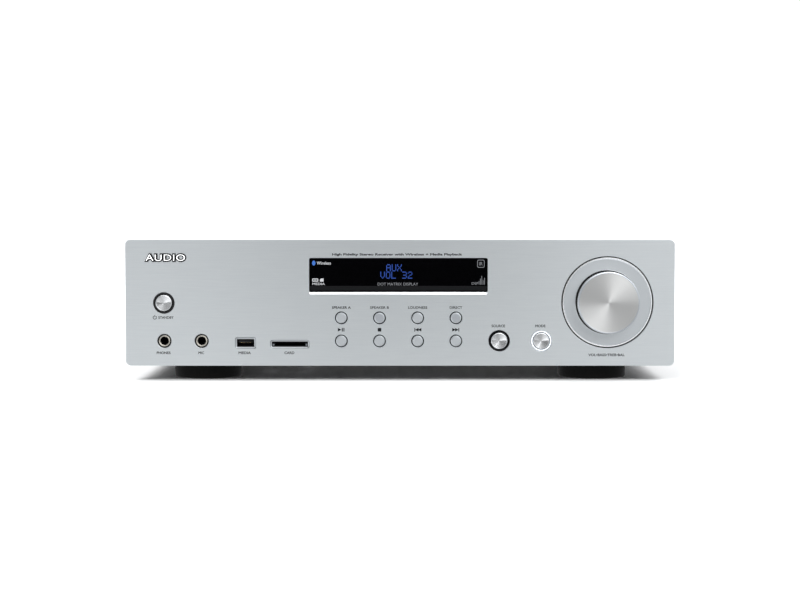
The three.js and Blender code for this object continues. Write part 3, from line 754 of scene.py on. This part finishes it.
def level_bars(x, z):
    """Five upright bars of different heights on one line, centred on x."""
    bars = []
    for index, height in enumerate([2.6, 4.6, 6.6, 3.4, 5.2]):
        bars.append(shape_print(bar(x + (index - 2) * 1.05, z + height / 2, 0.38, height)))
    return bars


def display_marks():
    """What the lit panel shows, and the small white and grey marks printed round it, which glow as painted light.
    """
    pane = Box("display_window")
    left, right, top, x = pane.low.x, pane.high.x, pane.high.z, pane.centre.x
    dots = dot_text("AUX", x - 9.0, top - 4.9) + dot_text("VOL 32", x - 13.5, top - 10.5)
    lamp = [(u, v * 1.45 + top - 3.6) for u, v in circle(left + 3.2, 0, 1.3)]
    white = [
        lettering("Wireless", left + 10.9, top - 3.6, 2.3, 10.8, bold=0.01),
        lettering("MEDIA", left + 6.9, top - 19.5, 1.7, 9.6, bold=0.01),
        *media_icons(left + 4.3, top - 16.6),
    ]
    grey = [
        lettering("DOT MATRIX DISPLAY", x - 0.4, top - 19.7, 2.1, 31, bold=0),
        lettering("DSP", right - 9.4, top - 19.2, 1.8, 5, bold=0),
        *remote_icon(right - 4.9, top - 4.1),
        *level_bars(right - 4.2, top - 20.1),
    ]
    for name, prints, finish in [
        ("display_dots", dots, DOT_BLUE),
        ("display_lamp", [shape_print(lamp, LIT_DEPTH)], ICON_BLUE),
        ("display_print", white, GLOWING_PRINT_WHITE),
        ("display_scale", grey, GLOWING_PRINT_GREY),
    ]:
        piece(name, moved(joined(prints), y=pane.low.y - 0.01), finish)


def display_border():
    """A band a shade paler than the glass, along its lower edge: a painted reflection of the table."""
    pane = Box("display_window")
    low = pane.low + Vector((0.4, -0.02, 0.4))
    high = (pane.high.x - 0.4, pane.low.y + 0.2, pane.low.z + 3.6)
    piece("display_border", block(low, high, bevel=0), REFLECTION_GREY)


# ---- Knob, buttons and rings ----


def sleeve(place, inner, outer, front):
    """A ring that lines a hole in the fascia."""
    back = FASCIA_BACK
    return turned_at(place, [(inner, back), (inner, front), (outer, front), (outer, back), (inner, back)])


def hole_sleeves():
    """Black sleeves round the volume ring and the small buttons, which keep their gaps dark as painted shade."""
    play = 0.02  # between a sleeve and its hole
    ring = Box("volume_ring")
    outer = ring.high.x - ring.centre.x
    sleeves = [sleeve(ring.centre, outer - 0.2, outer + GROOVE - play, FACE + 0.5)]
    for name in KEYS:
        sleeves.append(sleeve(Box(name).centre, KEY_HOLE - 0.5, KEY_HOLE - play, FACE + 0.45))
    piece("hole_sleeves", joined(sleeves), RING_BLACK)


def volume_ring():
    """A ring with a polished rim round its sunken face, and a black well behind the knob."""
    box = Box("volume_ring")
    outer, throat, shaft_hole = box.size.x / 2 - 0.25, 24.4, 3.8
    rim, back = box.low.y + 0.02, box.high.y
    face = box.low.y + 0.5
    well = face + 1.6
    profile = [(outer, back), (outer, rim, 0.2), (outer - 0.9, rim, 0.15), (outer - 1.3, face, 0.4)]
    profile += [(throat, face, 0.3), (throat, well), (shaft_hole, well), (shaft_hole, back), (outer, back)]
    profile = fillet(profile, steps=6)
    bands = []
    for (near, _), (far, depth) in zip(profile, profile[1:]):
        if min(near, far) > outer - 1.0 or (max(near, far) < throat + 0.35 and depth < well - 0.3):
            bands.append(1)
        else:
            bands.append(2 if max(near, far) < throat + 0.1 else 0)
    mesh = turned_at(box.centre, profile, 160, bands)
    piece("volume_dish", mesh, [SATIN, POLISHED, BLACK], replaces=["volume_ring"])


def volume_knob():
    """A spun face inside a satin bevel, a polished side wall, and a hollow back with its hub."""
    box = Box("volume_knob")
    radius, front, back = box.size.x / 2, box.low.y, box.high.y
    face = front + 0.12
    floor, hub_face = front + 2.4, front + 3.4
    wall, hub, shaft = radius - 2, 6, 3.1
    edge = [(radius - 1.15, face), (radius - 0.85, front), (radius, front + 0.85, 0.25)]
    skirt = [(radius, back, 0.2), (wall, back), (wall, floor), (hub, floor)]
    centre = [(hub, back), (shaft, back), (shaft, hub_face), (0, hub_face)]
    profile = fillet([(0, face), *edge, *skirt, *centre], steps=5)
    side = next(index for index, (_, depth) in enumerate(profile) if depth > front + 1) - 1
    bands = [0] + [1] * (side - 1) + [2] + [3] * (len(profile) - side - 2)
    mesh = turned_at(box.centre, profile, 192, bands)
    # the bevel takes the darker satin copy, painted shade
    finishes = [KNOB_SPIN, SATIN_SHADED, POLISHED, BLACK]
    piece("knob", mesh, finishes, "volume_control", ["volume_knob"])


def cap_back(radius, stem, back):
    """The end of a cap's profile: its side, its back and the stem behind it."""
    return [(radius, FACE + CAP_DEPTH), (stem, FACE + CAP_DEPTH), (stem, back), (0, back)]


def key_cap(name):
    """A small cap: a flat face, a broad and very shallow chamfer, and the stem behind it."""
    box = Box(name)
    front, radius = box.low.y, 4.05
    face = [(0, front), (3.1, front, 0.1), (radius - 0.15, front + 0.14, 0.05), (radius, front + 0.35, 0.1)]
    profile = fillet(face + cap_back(radius, 2.0, box.high.y))
    mesh = turned_at(box.centre, profile, 64, [0] + [1] * (len(profile) - 2))
    # two of the keys take the darker satin copy, painted shade
    finish = SATIN_SHADED if name in ("speaker_b_button", "direct_button") else SATIN
    cap_name = name.replace("button", "cap")
    piece(cap_name, mesh, [finish, SATIN], body_of_node(name), [name])


def push_cap(name):
    """A larger cap whose spun face falls to its middle as a shallow cone, inside a bright rim."""
    button = f"{name}_button"
    box = Box(button)
    front, radius = box.low.y, box.size.x / 2
    rim, lip, cone = radius - 0.7, front + 0.15, 0.85
    slope = cone / rim
    inner, outer = 0.4, 0.3  # short stretches at the apex and the rim, which keep the shading even
    face = [(0, lip + cone), (inner, lip + cone - inner * slope), (rim - outer, lip + outer * slope)]
    edge = [(rim, lip, 0.05), (radius - 0.5, front, 0.1), (radius, front + 0.6, 0.3)]
    profile = fillet(face + edge + cap_back(radius, 2.6, box.high.y))
    spun = next(index for index, (across, _) in enumerate(profile) if across > rim - 0.03)
    bands = [0] * spun + [1] * (len(profile) - 1 - spun)
    mesh = turned_at(box.centre, profile, 96, bands)
    piece(f"{name}_cap", mesh, [CAP_SPIN, POLISHED], body_of_node(button), [button])


def push_ring(name):
    """The ring round a larger button; one of them has a thin line of light let into it."""
    box = Box(f"{name}_ring")
    front, back = box.low.y, box.high.y
    inner, outer = 6.45, box.size.x / 2
    glow_in, glow_out = 6.75, 7.7
    if name == "mode":
        profile = [(inner, back), (inner, front + 0.1), (glow_in, front + 0.1), (glow_in, front)]
        profile += [(glow_out, front), (glow_out, front + 0.3), (outer, front + 0.35)]
        bands = [0, 0, 1, 1, 1, 2, 2, 0]
    else:
        profile = fillet([(inner, back), (inner, front, 0.5), (outer, front, 0.5)])
        bands = [0] * (len(profile) + 1)
    profile += [(outer, back), (inner, back)]
    mesh = turned_at(box.centre, profile, 96, bands)
    piece(f"{name}_bezel", mesh, [RING_BLACK, RING_LIGHT, SATIN], replaces=[f"{name}_ring"])


# ---- Sockets on the fascia ----


def jack(name):
    """A metal bushing with a smooth bore, a black collar round it and a black body behind."""
    box = Box(name)
    front, back = box.low.y, box.high.y
    bore, outer, bore_end = 3.175, 4.35, front + 30
    mouth = [(bore, front + 0.05, 0.55), (outer, front + 0.05, 0.35)]
    barrel = [(outer, front + 8), (outer + 0.02, back - 0.5), (0, back - 0.5)]
    bushing = fillet([(0, bore_end), (bore, bore_end), *mouth, *barrel])
    lip = next(index for index, (_, depth) in enumerate(bushing) if depth < front + 1)
    bands = [1] * (lip + 2) + [0] * (len(bushing) - lip - 3)
    mesh = turned_at(box.centre, bushing, 64, bands)
    piece(f"{name}_bushing", mesh, [NICKEL, BLACK], replaces=[name])

    inner, rim, collar_face, collar_back = 4.45, 5.3, FACE + 1.1, FACE + 4.8
    collar = [(inner, collar_back), (inner, collar_face, 0.2), (rim, collar_face), (rim, collar_back)]
    mesh = turned_at(box.centre, fillet(collar) + collar[:1], 64)
    piece(f"{name}_collar", mesh, RING_BLACK)

    outline = rounded_rect(box.centre.x, box.centre.z, box.size.x, box.size.x, 0.8)
    hole = circle(box.centre.x, box.centre.z, outer + 0.05)
    piece(f"{name}_body", plate(outline, [hole], back - 24, back), BLACK)


def socket_shell(name, radius, inner_radius, wall, floor):
    """A rectangular shell, open at the fascia and closed at its back."""
    box = Box(name)
    outer, inner = box.outline(radius), box.outline(inner_radius, wall)
    sections = [(inner, box.high.y - floor), (inner, box.low.y), (outer, box.low.y), (outer, box.high.y)]
    piece(f"{name}_shell", lofted(sections), BLACK, replaces=[name])


def media_port():
    """A shell round a tongue with four contacts."""
    socket_shell("media_port", 0.6, 0.4, wall=0.4, floor=1)
    box = Box("media_port")
    x, front, z = box.centre.x, box.low.y, box.centre.z
    tongue = block((x - 5.6, front + 2.5, z + 0.1), (x + 5.6, box.high.y - 1, z + 1.9), 0.15)
    piece("media_port_tongue", tongue, RING_BLACK)
    contacts = []
    for offset in (-3.5, -1.2, 1.2, 3.5):
        left, right = x + offset - 0.5, x + offset + 0.5
        contacts.append(block((left, front + 3.1, z - 0.05), (right, front + 10.1, z + 0.15), 0))
    piece("media_port_contacts", joined(contacts), GOLD)


def card_slot():
    """A thin black mouth with a grey guide at each end."""
    socket_shell("card_slot", 0.5, 0.35, wall=0.5, floor=2)
    box = Box("card_slot")
    front, z = box.low.y, box.centre.z
    guides = []
    for side in (-1, 1):
        x = box.centre.x + side * (box.size.x / 2 - 1.3)
        guides.append(block((x - 0.7, front + 0.4, z - 1.3), (x + 0.7, front + 12, z + 0.2), 0.1))
    piece("card_slot_guides", joined(guides), GREY)


# ---- Case ----


def foot(name):
    """A disc with a round lower edge, a hollow underneath and a screw pocket in its middle."""
    box = Box(name)
    radius, low, high = box.size.x / 2, box.low.z, box.high.z
    hollow, pocket_top = low + 0.8, 7
    side = [(0, high), (radius - 0.5, high, 0.4), (radius, high - 0.6, 0.4), (radius, low, 1.5)]
    sole = [(radius - 9, low, 0.4), (radius - 9.6, hollow), (5, hollow, 0.5)]
    mesh = turned(fillet([*side, *sole, (4, pocket_top), (0, pocket_top)], steps=6))
    mesh.transform(Matrix.Rotation(math.radians(90), 4, "X"))
    piece(name + "_pad", moved(mesh, box.centre.x, box.centre.y), FOOT_BLACK, replaces=[name])


def cover():
    """A sheet with its slots cut while flat, and then bent down at both sides."""
    box = Box("top_cover")
    sheet, bend = 1.0, 2.2
    slot_pitch, slot_height = 12, 66
    top_slot, side_slot = (4, 48, 1.99, 4), (36, 4, 1.99, 4)  # width, length, corner radius and steps
    flat_half = box.high.x - bend
    arc_length = math.pi / 2 * (bend - sheet / 2)
    wall_top = box.high.z - bend
    wall = flat_half + arc_length  # where the straight wall starts on the flat sheet
    outline = rounded_rect(0, box.centre.y, 2 * (wall + wall_top - box.low.z), box.size.y, 0.6, 2)
    holes = []
    for first in (-186, 34):
        for step in range(13):
            holes += [rounded_rect(first + slot_pitch * step, y, *top_slot) for y in (-40, 20)]
    for side in (-1, 1):
        u = side * (wall + wall_top - slot_height)
        holes += [rounded_rect(u, slot_pitch * step - 48, *side_slot) for step in range(9)]

    def bent(u, depth, y):
        """Where a point of the flat sheet lies on the bent one."""
        side = math.copysign(1, u)
        past = abs(u) - flat_half
        if past <= 0:
            return u, y, box.high.z - depth
        if past > arc_length:
            return side * (box.high.x - depth), y, wall_top - (past - arc_length)
        turn = past / arc_length * math.pi / 2
        radius = bend - depth
        return side * (flat_half + radius * math.sin(turn)), y, wall_top + radius * math.cos(turn)

    bm = bmesh_of(plate(outline, holes, 0, sheet, 0.12, 1))
    cuts = 6  # across each bend
    for side in (-1, 1):
        for step in range(cuts + 1):
            seam = (side * (flat_half + arc_length * step / cuts), 0, 0)
            geometry = bm.verts[:] + bm.edges[:] + bm.faces[:]
            bmesh.ops.bisect_plane(bm, geom=geometry, plane_co=seam, plane_no=(1, 0, 0))
    for vertex in bm.verts:
        vertex.co = bent(*vertex.co)
    piece("cover", finished(bm), COAT, replaces=["top_cover"])


def side_baffles():
    """A black sheet a little way inside each side's slots, which hides the room behind them: painted shade behind
    the slots.
    """
    high = Box("top_cover").high
    sheets = []
    for side in (-1, 1):
        inner, outer = sorted((side * (high.x - 6), side * (high.x - 5)))
        sheets.append(block((inner, -62, high.z - 80), (outer, 62, high.z - 8), 0.1))
    piece("side_baffles", joined(sheets), BLACK)


# ---- Rear ----


def socket_places():
    """Centres of the ten line sockets, in x and z."""
    centre = Box("line_sockets").centre
    return [(centre.x + (column - 2) * 18, centre.z + row * 10) for column in range(5) for row in (-1, 1)]


def rear_sheet():
    panel = Box("rear_panel")
    holes = [circle(x, z, 4.6, 32) for x, z in socket_places()]
    for name, side_margin, edge_margin in [
        ("speaker_terminals", 2, 2),
        ("mains_inlet", 11, 2),
        ("power_switch", 1.3, 1.3),
    ]:
        box = Box(name)
        width, height = box.size.x - 2 * side_margin, box.size.z - 2 * edge_margin
        holes.append(rounded_rect(box.centre.x, box.centre.z, width, height, 0.5, 2))
    mesh = plate(panel.outline(1.5), holes, panel.low.y, panel.high.y, 0.1, 1)
    piece("rear_sheet", mesh, COAT, replaces=["rear_panel"])


def line_sockets():
    """Nickel sleeves over coloured rings, in a black block behind the panel."""
    box = Box("line_sockets")
    tip = box.high.y
    bore, pin, gap, outer = 1.6, 2.2, 3.3, 4.15
    floor, pin_tip, pin_root, root = tip - 8, tip - 0.6, tip - 7, REAR_FACE - 2
    centre = [(bore, floor), (bore, pin_tip, 0.2), (pin, pin_tip, 0.2), (pin, pin_root), (gap, pin_root)]
    shell = [(gap, tip, 0.2), (outer, tip, 0.3), (outer, REAR_FACE + 1.6), (outer, root), (bore, root)]
    profile = fillet([*centre, *shell, (bore, floor)])
    back, front = REAR_FACE + 0.1, REAR_FACE + 1.3
    ring = fillet([(4.25, back), (6.4, back), (6.2, front, 0.3)])
    ring += [(4.25, front), ring[0]]
    sleeves, upper, lower = [], [], []
    for x, z in socket_places():
        sleeves.append(moved(turned(profile, 40), x, 0, z))
        row = upper if z > box.centre.z else lower
        row.append(moved(turned(ring, 40), x, 0, z))
    piece("line_sleeves", joined(sleeves), NICKEL, replaces=["line_sockets"])
    piece("line_rings_left", joined(upper), WHITE)
    piece("line_rings_right", joined(lower), RED)
    back = Box("rear_panel").low.y - GAP
    shell = block((box.low.x, back - 9, box.low.z), (box.high.x, back, box.high.z), 0.5)
    piece("line_socket_block", shell, BLACK)


def moulding(name, node_name, outlines, wells, holes=(), floor=3, bevel=0.3):
    """A flange on the rear panel with a hollow body behind it. The holes go through the flange only."""
    box = Box(node_name)
    flange, body = outlines
    face = plate(flange, [*wells, *holes], REAR_FACE + 0.1, box.high.y, bevel)
    wall = plate(body, wells, box.low.y + floor, REAR_FACE + 0.2, 0.05, 1)
    back = plate(body, [], box.low.y, box.low.y + floor + 0.05, 0.2)
    piece(name, joined([face, wall, back]), BLACK, replaces=[node_name])


def terminal_block():
    """The speaker terminals' moulding, with a pocket for each lever and a hole for each wire."""
    width, height = 12.2, 10.9
    pockets, wires = [], []
    for name in LEVERS:
        box = Box(name)
        top = box.high.z + 0.7
        pockets.append(rounded_rect(box.centre.x, top - height / 2, width, height, 0.8, 3))
        wires.append(circle(box.centre.x, top - 14.2, 1.9, 28))
    box = Box("speaker_terminals")
    outlines = box.outline(1.5), box.outline(0.8, 2.5)
    moulding("terminal_block", "speaker_terminals", outlines, pockets, wires, floor=4, bevel=0.25)


def lever(name, finish):
    """A spring terminal's lever: a wedge-shaped arm with a raised, ridged tab at its tip."""
    box = Box(name)
    root, tip = box.low.y, box.high.y
    pivot = box.high.z - 3.2
    under = [(root, pivot - 2), (root + 8, pivot - 3, 1.5), (tip - 0.6, pivot - 1.6, 0.6)]
    over = [(tip, pivot - 0.6, 0.5), (tip, pivot + 2.3, 0.9), (root + 9, pivot + 3.2, 2.5)]
    over.append((root, pivot + 2))
    parts = [swept(fillet(under + over), box.low.x, box.high.x, 0.35)]
    for back in (1.9, 3.4, 4.9):
        y, z = tip - back, pivot + 2.3 + back * 0.09
        ridge_low = (box.low.x + 1.2, y - 0.3, z - 0.3)
        ridge_high = (box.high.x - 1.2, y + 0.3, z + 0.25)
        parts.append(block(ridge_low, ridge_high, 0.15))
    piece(name.replace("lever", "tab"), joined(parts), finish, body_of_node(name), [name])


def mains_inlet():
    """A flanged inlet whose cup has two cut corners, with three blades."""
    box = Box("mains_inlet")
    x, z = box.centre.x, box.centre.z
    half, rise, cut = 12.2, 8.3, 4
    right = [(x + half, z - rise), (x + half, z + rise - cut), (x + half - cut, z + rise)]
    left = [(2 * x - u, v) for u, v in reversed(right)]
    cup = [left[-1], *right, *left[:-1]]
    outlines = box.outline(2.5), rounded_rect(x, z, 27, 19.2, 1)
    moulding("inlet_moulding", "mains_inlet", outlines, [cup])
    blades = []
    for u, v in [(x - 7, z - 2), (x, z + 2), (x + 7, z - 2)]:
        blades.append(block((u - 1, box.low.y + 2.5, v - 2), (u + 1, box.high.y - 2, v + 2), 0.4))
    piece("inlet_blades", joined(blades), NICKEL)


def power_switch():
    """The housing round the rocker."""
    box = Box("power_switch")
    well = rounded_rect(box.centre.x, box.centre.z, 11, 18, 0.5)
    outlines = box.outline(1.2), rounded_rect(box.centre.x, box.centre.z, 13.4, 20.4, 0.6)
    moulding("switch_moulding", "power_switch", outlines, [well], bevel=0.4)


def rocker():
    """A rocker whose face is one shallow scoop, tilted to its off position."""
    box = Box("power_rocker")
    joint = next(each for each in frame["joints"] if each["name"] == "power_rock")
    pivot = Vector(joint["pos_m"]) / MM
    half, foot_half, foot_depth, steps = 8.0, 2.5, -6, 6

    def face(rise):
        return 1.4 + 2.2 * (rise / half) ** 2

    scoop = [(face(half * step / steps), half * step / steps) for step in range(-steps, steps + 1)]
    side = scoop + [(-1, half), (foot_depth, foot_half), (foot_depth, -foot_half), (-1, -half)]
    cap = swept(side, box.low.x, box.high.x)
    marks = joined([lettering("I", 0, half * 0.6, 2.6), lettering("O", 0, -half * 0.6, 2.6)])
    marks.transform(Matrix.Rotation(math.pi, 4, "Z"))
    for vertex in marks.vertices:
        vertex.co.y += face(vertex.co.z) + 0.02
    moved(marks, box.centre.x)
    tilt = Matrix.Translation((0, pivot.y, pivot.z)) @ Matrix.Rotation(math.radians(-10), 4, "X")
    cap.transform(tilt)
    marks.transform(tilt)
    piece("rocker_cap", cap, RING_BLACK, "rocker", ["power_rocker"])
    piece("rocker_marks", marks, WHITE_INK, "rocker")


def screw_mesh(radius, rise):
    """A pan-head screw with a cross cut into it, standing on the y 0 plane and facing +Y."""
    dome = fillet([(0, 0), (radius, 0), (radius, 0.6, 0.3), (radius * 0.75, rise * 0.85, 1.2), (0, rise)])
    long, thin, floor, clear = 2, 0.45, 0.7, 4
    arms = [block((-u, floor, -v), (u, clear, v), 0) for u, v in [(long, thin), (thin, long)]]
    head, *tools = [bpy.data.objects.new("scratch", mesh) for mesh in [turned(dome, 48), *arms]]
    for scratch in [head, *tools]:
        bpy.context.scene.collection.objects.link(scratch)
    for tool in tools:
        cut = head.modifiers.new("cut", "BOOLEAN")
        cut.object = tool
        cut.operation = "DIFFERENCE"
    graph = bpy.context.evaluated_depsgraph_get()
    mesh = bpy.data.meshes.new_from_object(head.evaluated_get(graph))
    for scratch in [head, *tools]:
        bpy.data.objects.remove(scratch)
    return finished(bmesh_of(mesh))


def screws():
    """Screws through the cover's sides, round the rear panel and beside its fittings."""
    large, small = screw_mesh(3.4, 2.0), screw_mesh(2.6, 1.6)
    for name in COVER_SCREWS:
        box = Box(name)
        side = math.copysign(1, box.centre.x)
        root = box.low.x if side > 0 else box.high.x
        mesh = large.copy()
        mesh.transform(Matrix.Rotation(-side * math.pi / 2, 4, "Z"))
        moved(mesh, root, box.centre.y, box.centre.z)
        piece(name.replace("cover_screw", "side_screw"), mesh, ZINC, replaces=[name])
    panel, inlet, terminals = Box("rear_panel"), Box("mains_inlet"), Box("speaker_terminals")
    edge = 5  # from the panel's edges to its screws
    places = [(large, x, REAR_FACE, panel.high.z - edge) for x in (-195, -70, 80, 195)]
    places += [(large, x, REAR_FACE, panel.low.z + edge) for x in (-195, -60, 60, 195)]
    for side in (-1, 1):
        places.append((small, inlet.centre.x + side * 19.5, inlet.high.y, inlet.centre.z))
        places.append((small, terminals.centre.x + side * 37, REAR_FACE, terminals.centre.z))
    heads = [moved(screw.copy(), x, y, z) for screw, x, y, z in places]
    piece("rear_screws", joined(heads), ZINC)


def rear_printing():
    """Words and thin frames round the rear panel's fittings."""
    prints = []

    def label(text, x, z, height):
        prints.append(lettering(text, x, z, height, facing_rear=True))

    terminals = Box("speaker_terminals")
    label("SPEAKERS", terminals.centre.x, terminals.high.z + 8, 2.6)
    for pair in "AB":
        label(pair, terminals.high.x + 10, Box(f"speaker_{pair.lower()}_lever_1").centre.z - 3, 3.4)
    for x, text in zip((-12.5, 2.5, 17.5, 32.5), "+–+–"):
        label(text, x, terminals.high.z + 3.2, 2.2)
    for x, text in [(-5, "R"), (25, "L")]:
        label(text, x, terminals.low.z - 3.5, 2.4)
    columns = sorted({x for x, _ in socket_places()})
    bottom, top = sorted({z for _, z in socket_places()})
    for x, text in zip(columns, ("PHONO", "CD", "TUNER", "AUX", "OUT")):
        label(text, x, top + 10.5, 2.1)
    for z, text in [(top, "L"), (bottom, "R")]:
        label(text, columns[0] - 11, z, 2.4)
    for name, text in [("mains_inlet", "AC IN"), ("power_switch", "POWER")]:
        label(text, Box(name).centre.x, Box(name).centre.z + 17, 2.4)
    line = 0.4
    for x, z, width, height in [
        (terminals.centre.x, terminals.centre.z + 1.5, 92, 70),
        (columns[2] - 1.5, (top + bottom) / 2 + 2.5, 101, 44),
    ]:
        inner = (width - 2 * line, height - 2 * line, 2 - line)
        prints.append(line_print(x, z, (width, height, 2), inner, front=0))
    piece("rear_printing", moved(joined(prints), y=REAR_FACE), WHITE_INK)


# ---- Stage ----

# The room's brightness by height (the sine of the elevation), how a line level with the table
# fades out to each side, and the room's least brightness by depth.
ROOM_BY_HEIGHT = [
    (-1, 0.45),
    (-0.45, 0.36),
    (-0.3, 0.56),
    (-0.16, 1.12),
    (-0.06, 0.78),
    (0, 0.54),
    (0.08, 0.28),
    (0.16, 0.32),
    (0.3, 0.6),
    (1, 1.0),
]
ROOM_TO_SIDE = [
    (-0.7, 0.3),
    (-0.55, 0),
    (-0.26, 0),
    (-0.18, 1.2),
    (-0.1, 1.5),
    (0, 1),
    (0.1, 1.7),
    (0.2, 1.7),
    (0.28, 0),
    (0.55, 0),
    (0.7, 0.3),
]
ROOM_BEHIND = [(-1, 0), (-0.85, 0), (-0.65, 0.5), (0, 0.6), (1, 1.2)]
ROOM_SLANT = 6.0  # how much brighter the room is to the upper right and lower left
SLANT_LIMITS = (0.6, 1.7)
HORIZON = -0.07  # the height of the dark line to each side
HORIZON_HEIGHT = 0.09  # how far above and below it ROOM_TO_SIDE fades out
ROOM_SCALE = 2.0  # the ramps hold values up to 1, so they are scaled by this


def maths(owner, operation, *values):
    return node(owner, "Math", enumerate(values), operation=operation).outputs["Value"]


def ramp(world, value, stops):
    """Reads a value from -1 to 1 through a ramp of (place, brightness) stops."""
    made = node(world, "ValToRGB", {"Fac": maths(world, "MULTIPLY_ADD", value, 0.5, 0.5)})
    elements = made.color_ramp.elements
    while len(elements) < len(stops):
        elements.new(0.5)
    for element, (place, brightness) in zip(elements, stops):
        element.position = place / 2 + 0.5
        element.color = (*[brightness / ROOM_SCALE] * 3, 1)
    return maths(world, "MULTIPLY", made.outputs["Color"], ROOM_SCALE)


def room_brightness(world):
    """The room's brightness in every direction, from the tables above."""
    place = node(world, "TexCoord").outputs["Generated"]
    across, along, up = node(world, "SeparateXYZ", {"Vector": place}).outputs
    to_side = maths(world, "SUBTRACT", ramp(world, across, ROOM_TO_SIDE), 1)
    from_line = maths(world, "ABSOLUTE", maths(world, "SUBTRACT", up, HORIZON))
    nearness = maths(world, "MULTIPLY_ADD", from_line, -1 / HORIZON_HEIGHT, 1)
    level = maths(world, "MULTIPLY_ADD", to_side, maths(world, "MAXIMUM", nearness, 0), 1)
    slant = maths(world, "MULTIPLY_ADD", maths(world, "MULTIPLY", across, up), ROOM_SLANT, 1)
    slant = maths(world, "MAXIMUM", slant, SLANT_LIMITS[0])
    slant = maths(world, "MINIMUM", slant, SLANT_LIMITS[1])
    front = maths(world, "MULTIPLY", ramp(world, up, ROOM_BY_HEIGHT), level)
    front = maths(world, "MULTIPLY", front, slant)
    return maths(world, "MAXIMUM", front, ramp(world, along, ROOM_BEHIND))


def white_room():
    """A white room that lights and is mirrored unevenly. The camera sees it as plain white."""
    world = bpy.data.worlds.new("room")
    bpy.context.scene.world = world
    world.use_nodes = True
    seen = world.node_tree.nodes["Background"]
    seen.inputs["Color"].default_value = (1, 1, 1, 1)
    seen.inputs["Strength"].default_value = 1.1
    light = node(world, "Background", {"Color": (0.97, 0.985, 1, 1), "Strength": room_brightness(world)})
    camera_ray = node(world, "LightPath").outputs["Is Camera Ray"]
    shaders = {1: light.outputs["Background"], 2: seen.outputs["Background"]}
    mix = node(world, "MixShader", {"Fac": camera_ray, **shaders})
    output = world.node_tree.nodes["World Output"]
    world.node_tree.links.new(mix.outputs["Shader"], output.inputs["Surface"])


def stage_plane(name, corners, material):
    bm = bmesh.new()
    bm.faces.new([bm.verts.new(corner) for corner in corners])
    thing = bpy.data.objects.new(name, mesh_of(bm, name))
    thing.data.materials.append(material)
    bpy.context.scene.collection.objects.link(thing)
    return thing


def floor():
    """A white table. The metal mirrors the room's pale lower half in its place."""
    material = principled("floor_white", (0.9, 0.9, 0.9), 0.5, Specular_IOR_Level=0.2)
    half = 9.0
    corners = [(-half, -half, 0), (half, -half, 0), (half, half, 0), (-half, half, 0)]
    stage_plane("floor", corners, material).visible_glossy = False


def dark_card():
    """A black card behind the camera, down past the table's edge, seen only in reflections."""
    material = principled("card_black", (0.0, 0.0, 0.0), 1.0, Specular_IOR_Level=0.0)
    y, half, top = -1.76, 0.24, 0.1
    corners = [(-half, y, -top), (half, y, -top), (half, y, top), (-half, y, top)]
    card = stage_plane("dark_card", corners, material)
    card.visible_camera = False
    card.visible_shadow = False
    card.visible_diffuse = False


def add_light(name, kind, direction, energy, **settings):
    """A light that shines from a direction and that the camera doesn't see."""
    lamp = bpy.data.lights.new(name, kind)
    lamp.energy = energy
    for setting, value in settings.items():
        setattr(lamp, setting, value)
    thing = bpy.data.objects.new(name, lamp)
    thing.rotation_mode = "QUATERNION"
    thing.rotation_quaternion = Vector(direction).to_track_quat("Z", "Y")
    thing.visible_camera = False
    bpy.context.scene.collection.objects.link(thing)
    return thing


def softbox(name, place, target, size, brightness):
    """A lit panel of a size in metres, turned to a target."""
    width, height = size
    energy = brightness * math.pi * width * height
    direction = Vector(place) - Vector(target)
    thing = add_light(name, "AREA", direction, energy, shape="RECTANGLE", size=width, size_y=height)
    thing.location = place


def lights():
    """A key from the front left for the floor, and panels that the metal mirrors."""
    key = add_light("key", "SUN", (-0.45, -1.0, 0.7), 3.6, angle=math.radians(26))
    key.visible_glossy = False
    softbox("ceiling", (0, 0.2, 2.4), (0, 0.1, 0), (3.0, 2.4), 1.3)
    softbox("right_panel", (0.95, -1.6, 0.95), (0.1, -0.14, 0.06), (1.0, 0.9), 1.3)
    softbox("rear_panel_light", (1.4, 2.2, 1.3), (0, 0.14, 0.05), (1.4, 1.2), 1.2)


def camera():
    lens = bpy.data.cameras.new("camera")
    lens.lens = 88.4
    thing = bpy.data.objects.new("camera", lens)
    thing.location = (0, FACE * MM - 1.5, 0.141)
    thing.rotation_euler = (math.radians(87), 0, 0)
    bpy.context.scene.collection.objects.link(thing)
    bpy.context.scene.camera = thing


# ---- The receiver ----


def front():
    fascia()
    window_lip()
    window()
    for name in MOUTHS:
        mouth_bezel(name)
    fascia_printing()
    nameplate()
    display_marks()
    display_border()
    volume_ring()
    volume_knob()
    for name in KEYS:
        key_cap(name)
    hole_sleeves()
    for name in PUSHES:
        push_cap(name)
        push_ring(name)
    for name in JACKS:
        jack(name)
    media_port()
    card_slot()


def case():
    cover()
    side_baffles()
    for name in FEET:
        foot(name)
    screws()


def rear():
    rear_sheet()
    line_sockets()
    terminal_block()
    for name in LEVERS:
        red = int(name[-1]) % 2 == 1
        lever(name, RED if red else BLACK)
    mains_inlet()
    power_switch()
    rocker()
    rear_printing()


def inside():
    """Parts that show only through the vents keep their CAD shapes."""
    board = circuit_board()
    anodised = moulded_black("anodised_black", (0.03, 0.03, 0.033), 0.4)
    for finish, names in [
        (board, ["control_board", "main_board"]),
        (laminated_iron(), ["transformer"]),
        (anodised, ["heat_sink"]),
        (ribbed_lead(), ["ribbon_cable"]),
        (BLACK, ["output_transistor_left", "output_transistor_right", "front_frame"]),
        (WINDOW_BLACK, ["filter_capacitor_front", "filter_capacitor_rear"]),
        (ZINC, ["volume_shaft", "volume_encoder"]),
        (COAT, ["bottom_pan"]),
        (RING_BLACK, ["display_module"]),
    ]:
        for name in names:
            dress(name, finish)


bpy.context.scene.view_settings.view_transform = "Standard"
camera()
white_room()
floor()
dark_card()
lights()
front()
case()
rear()
inside()
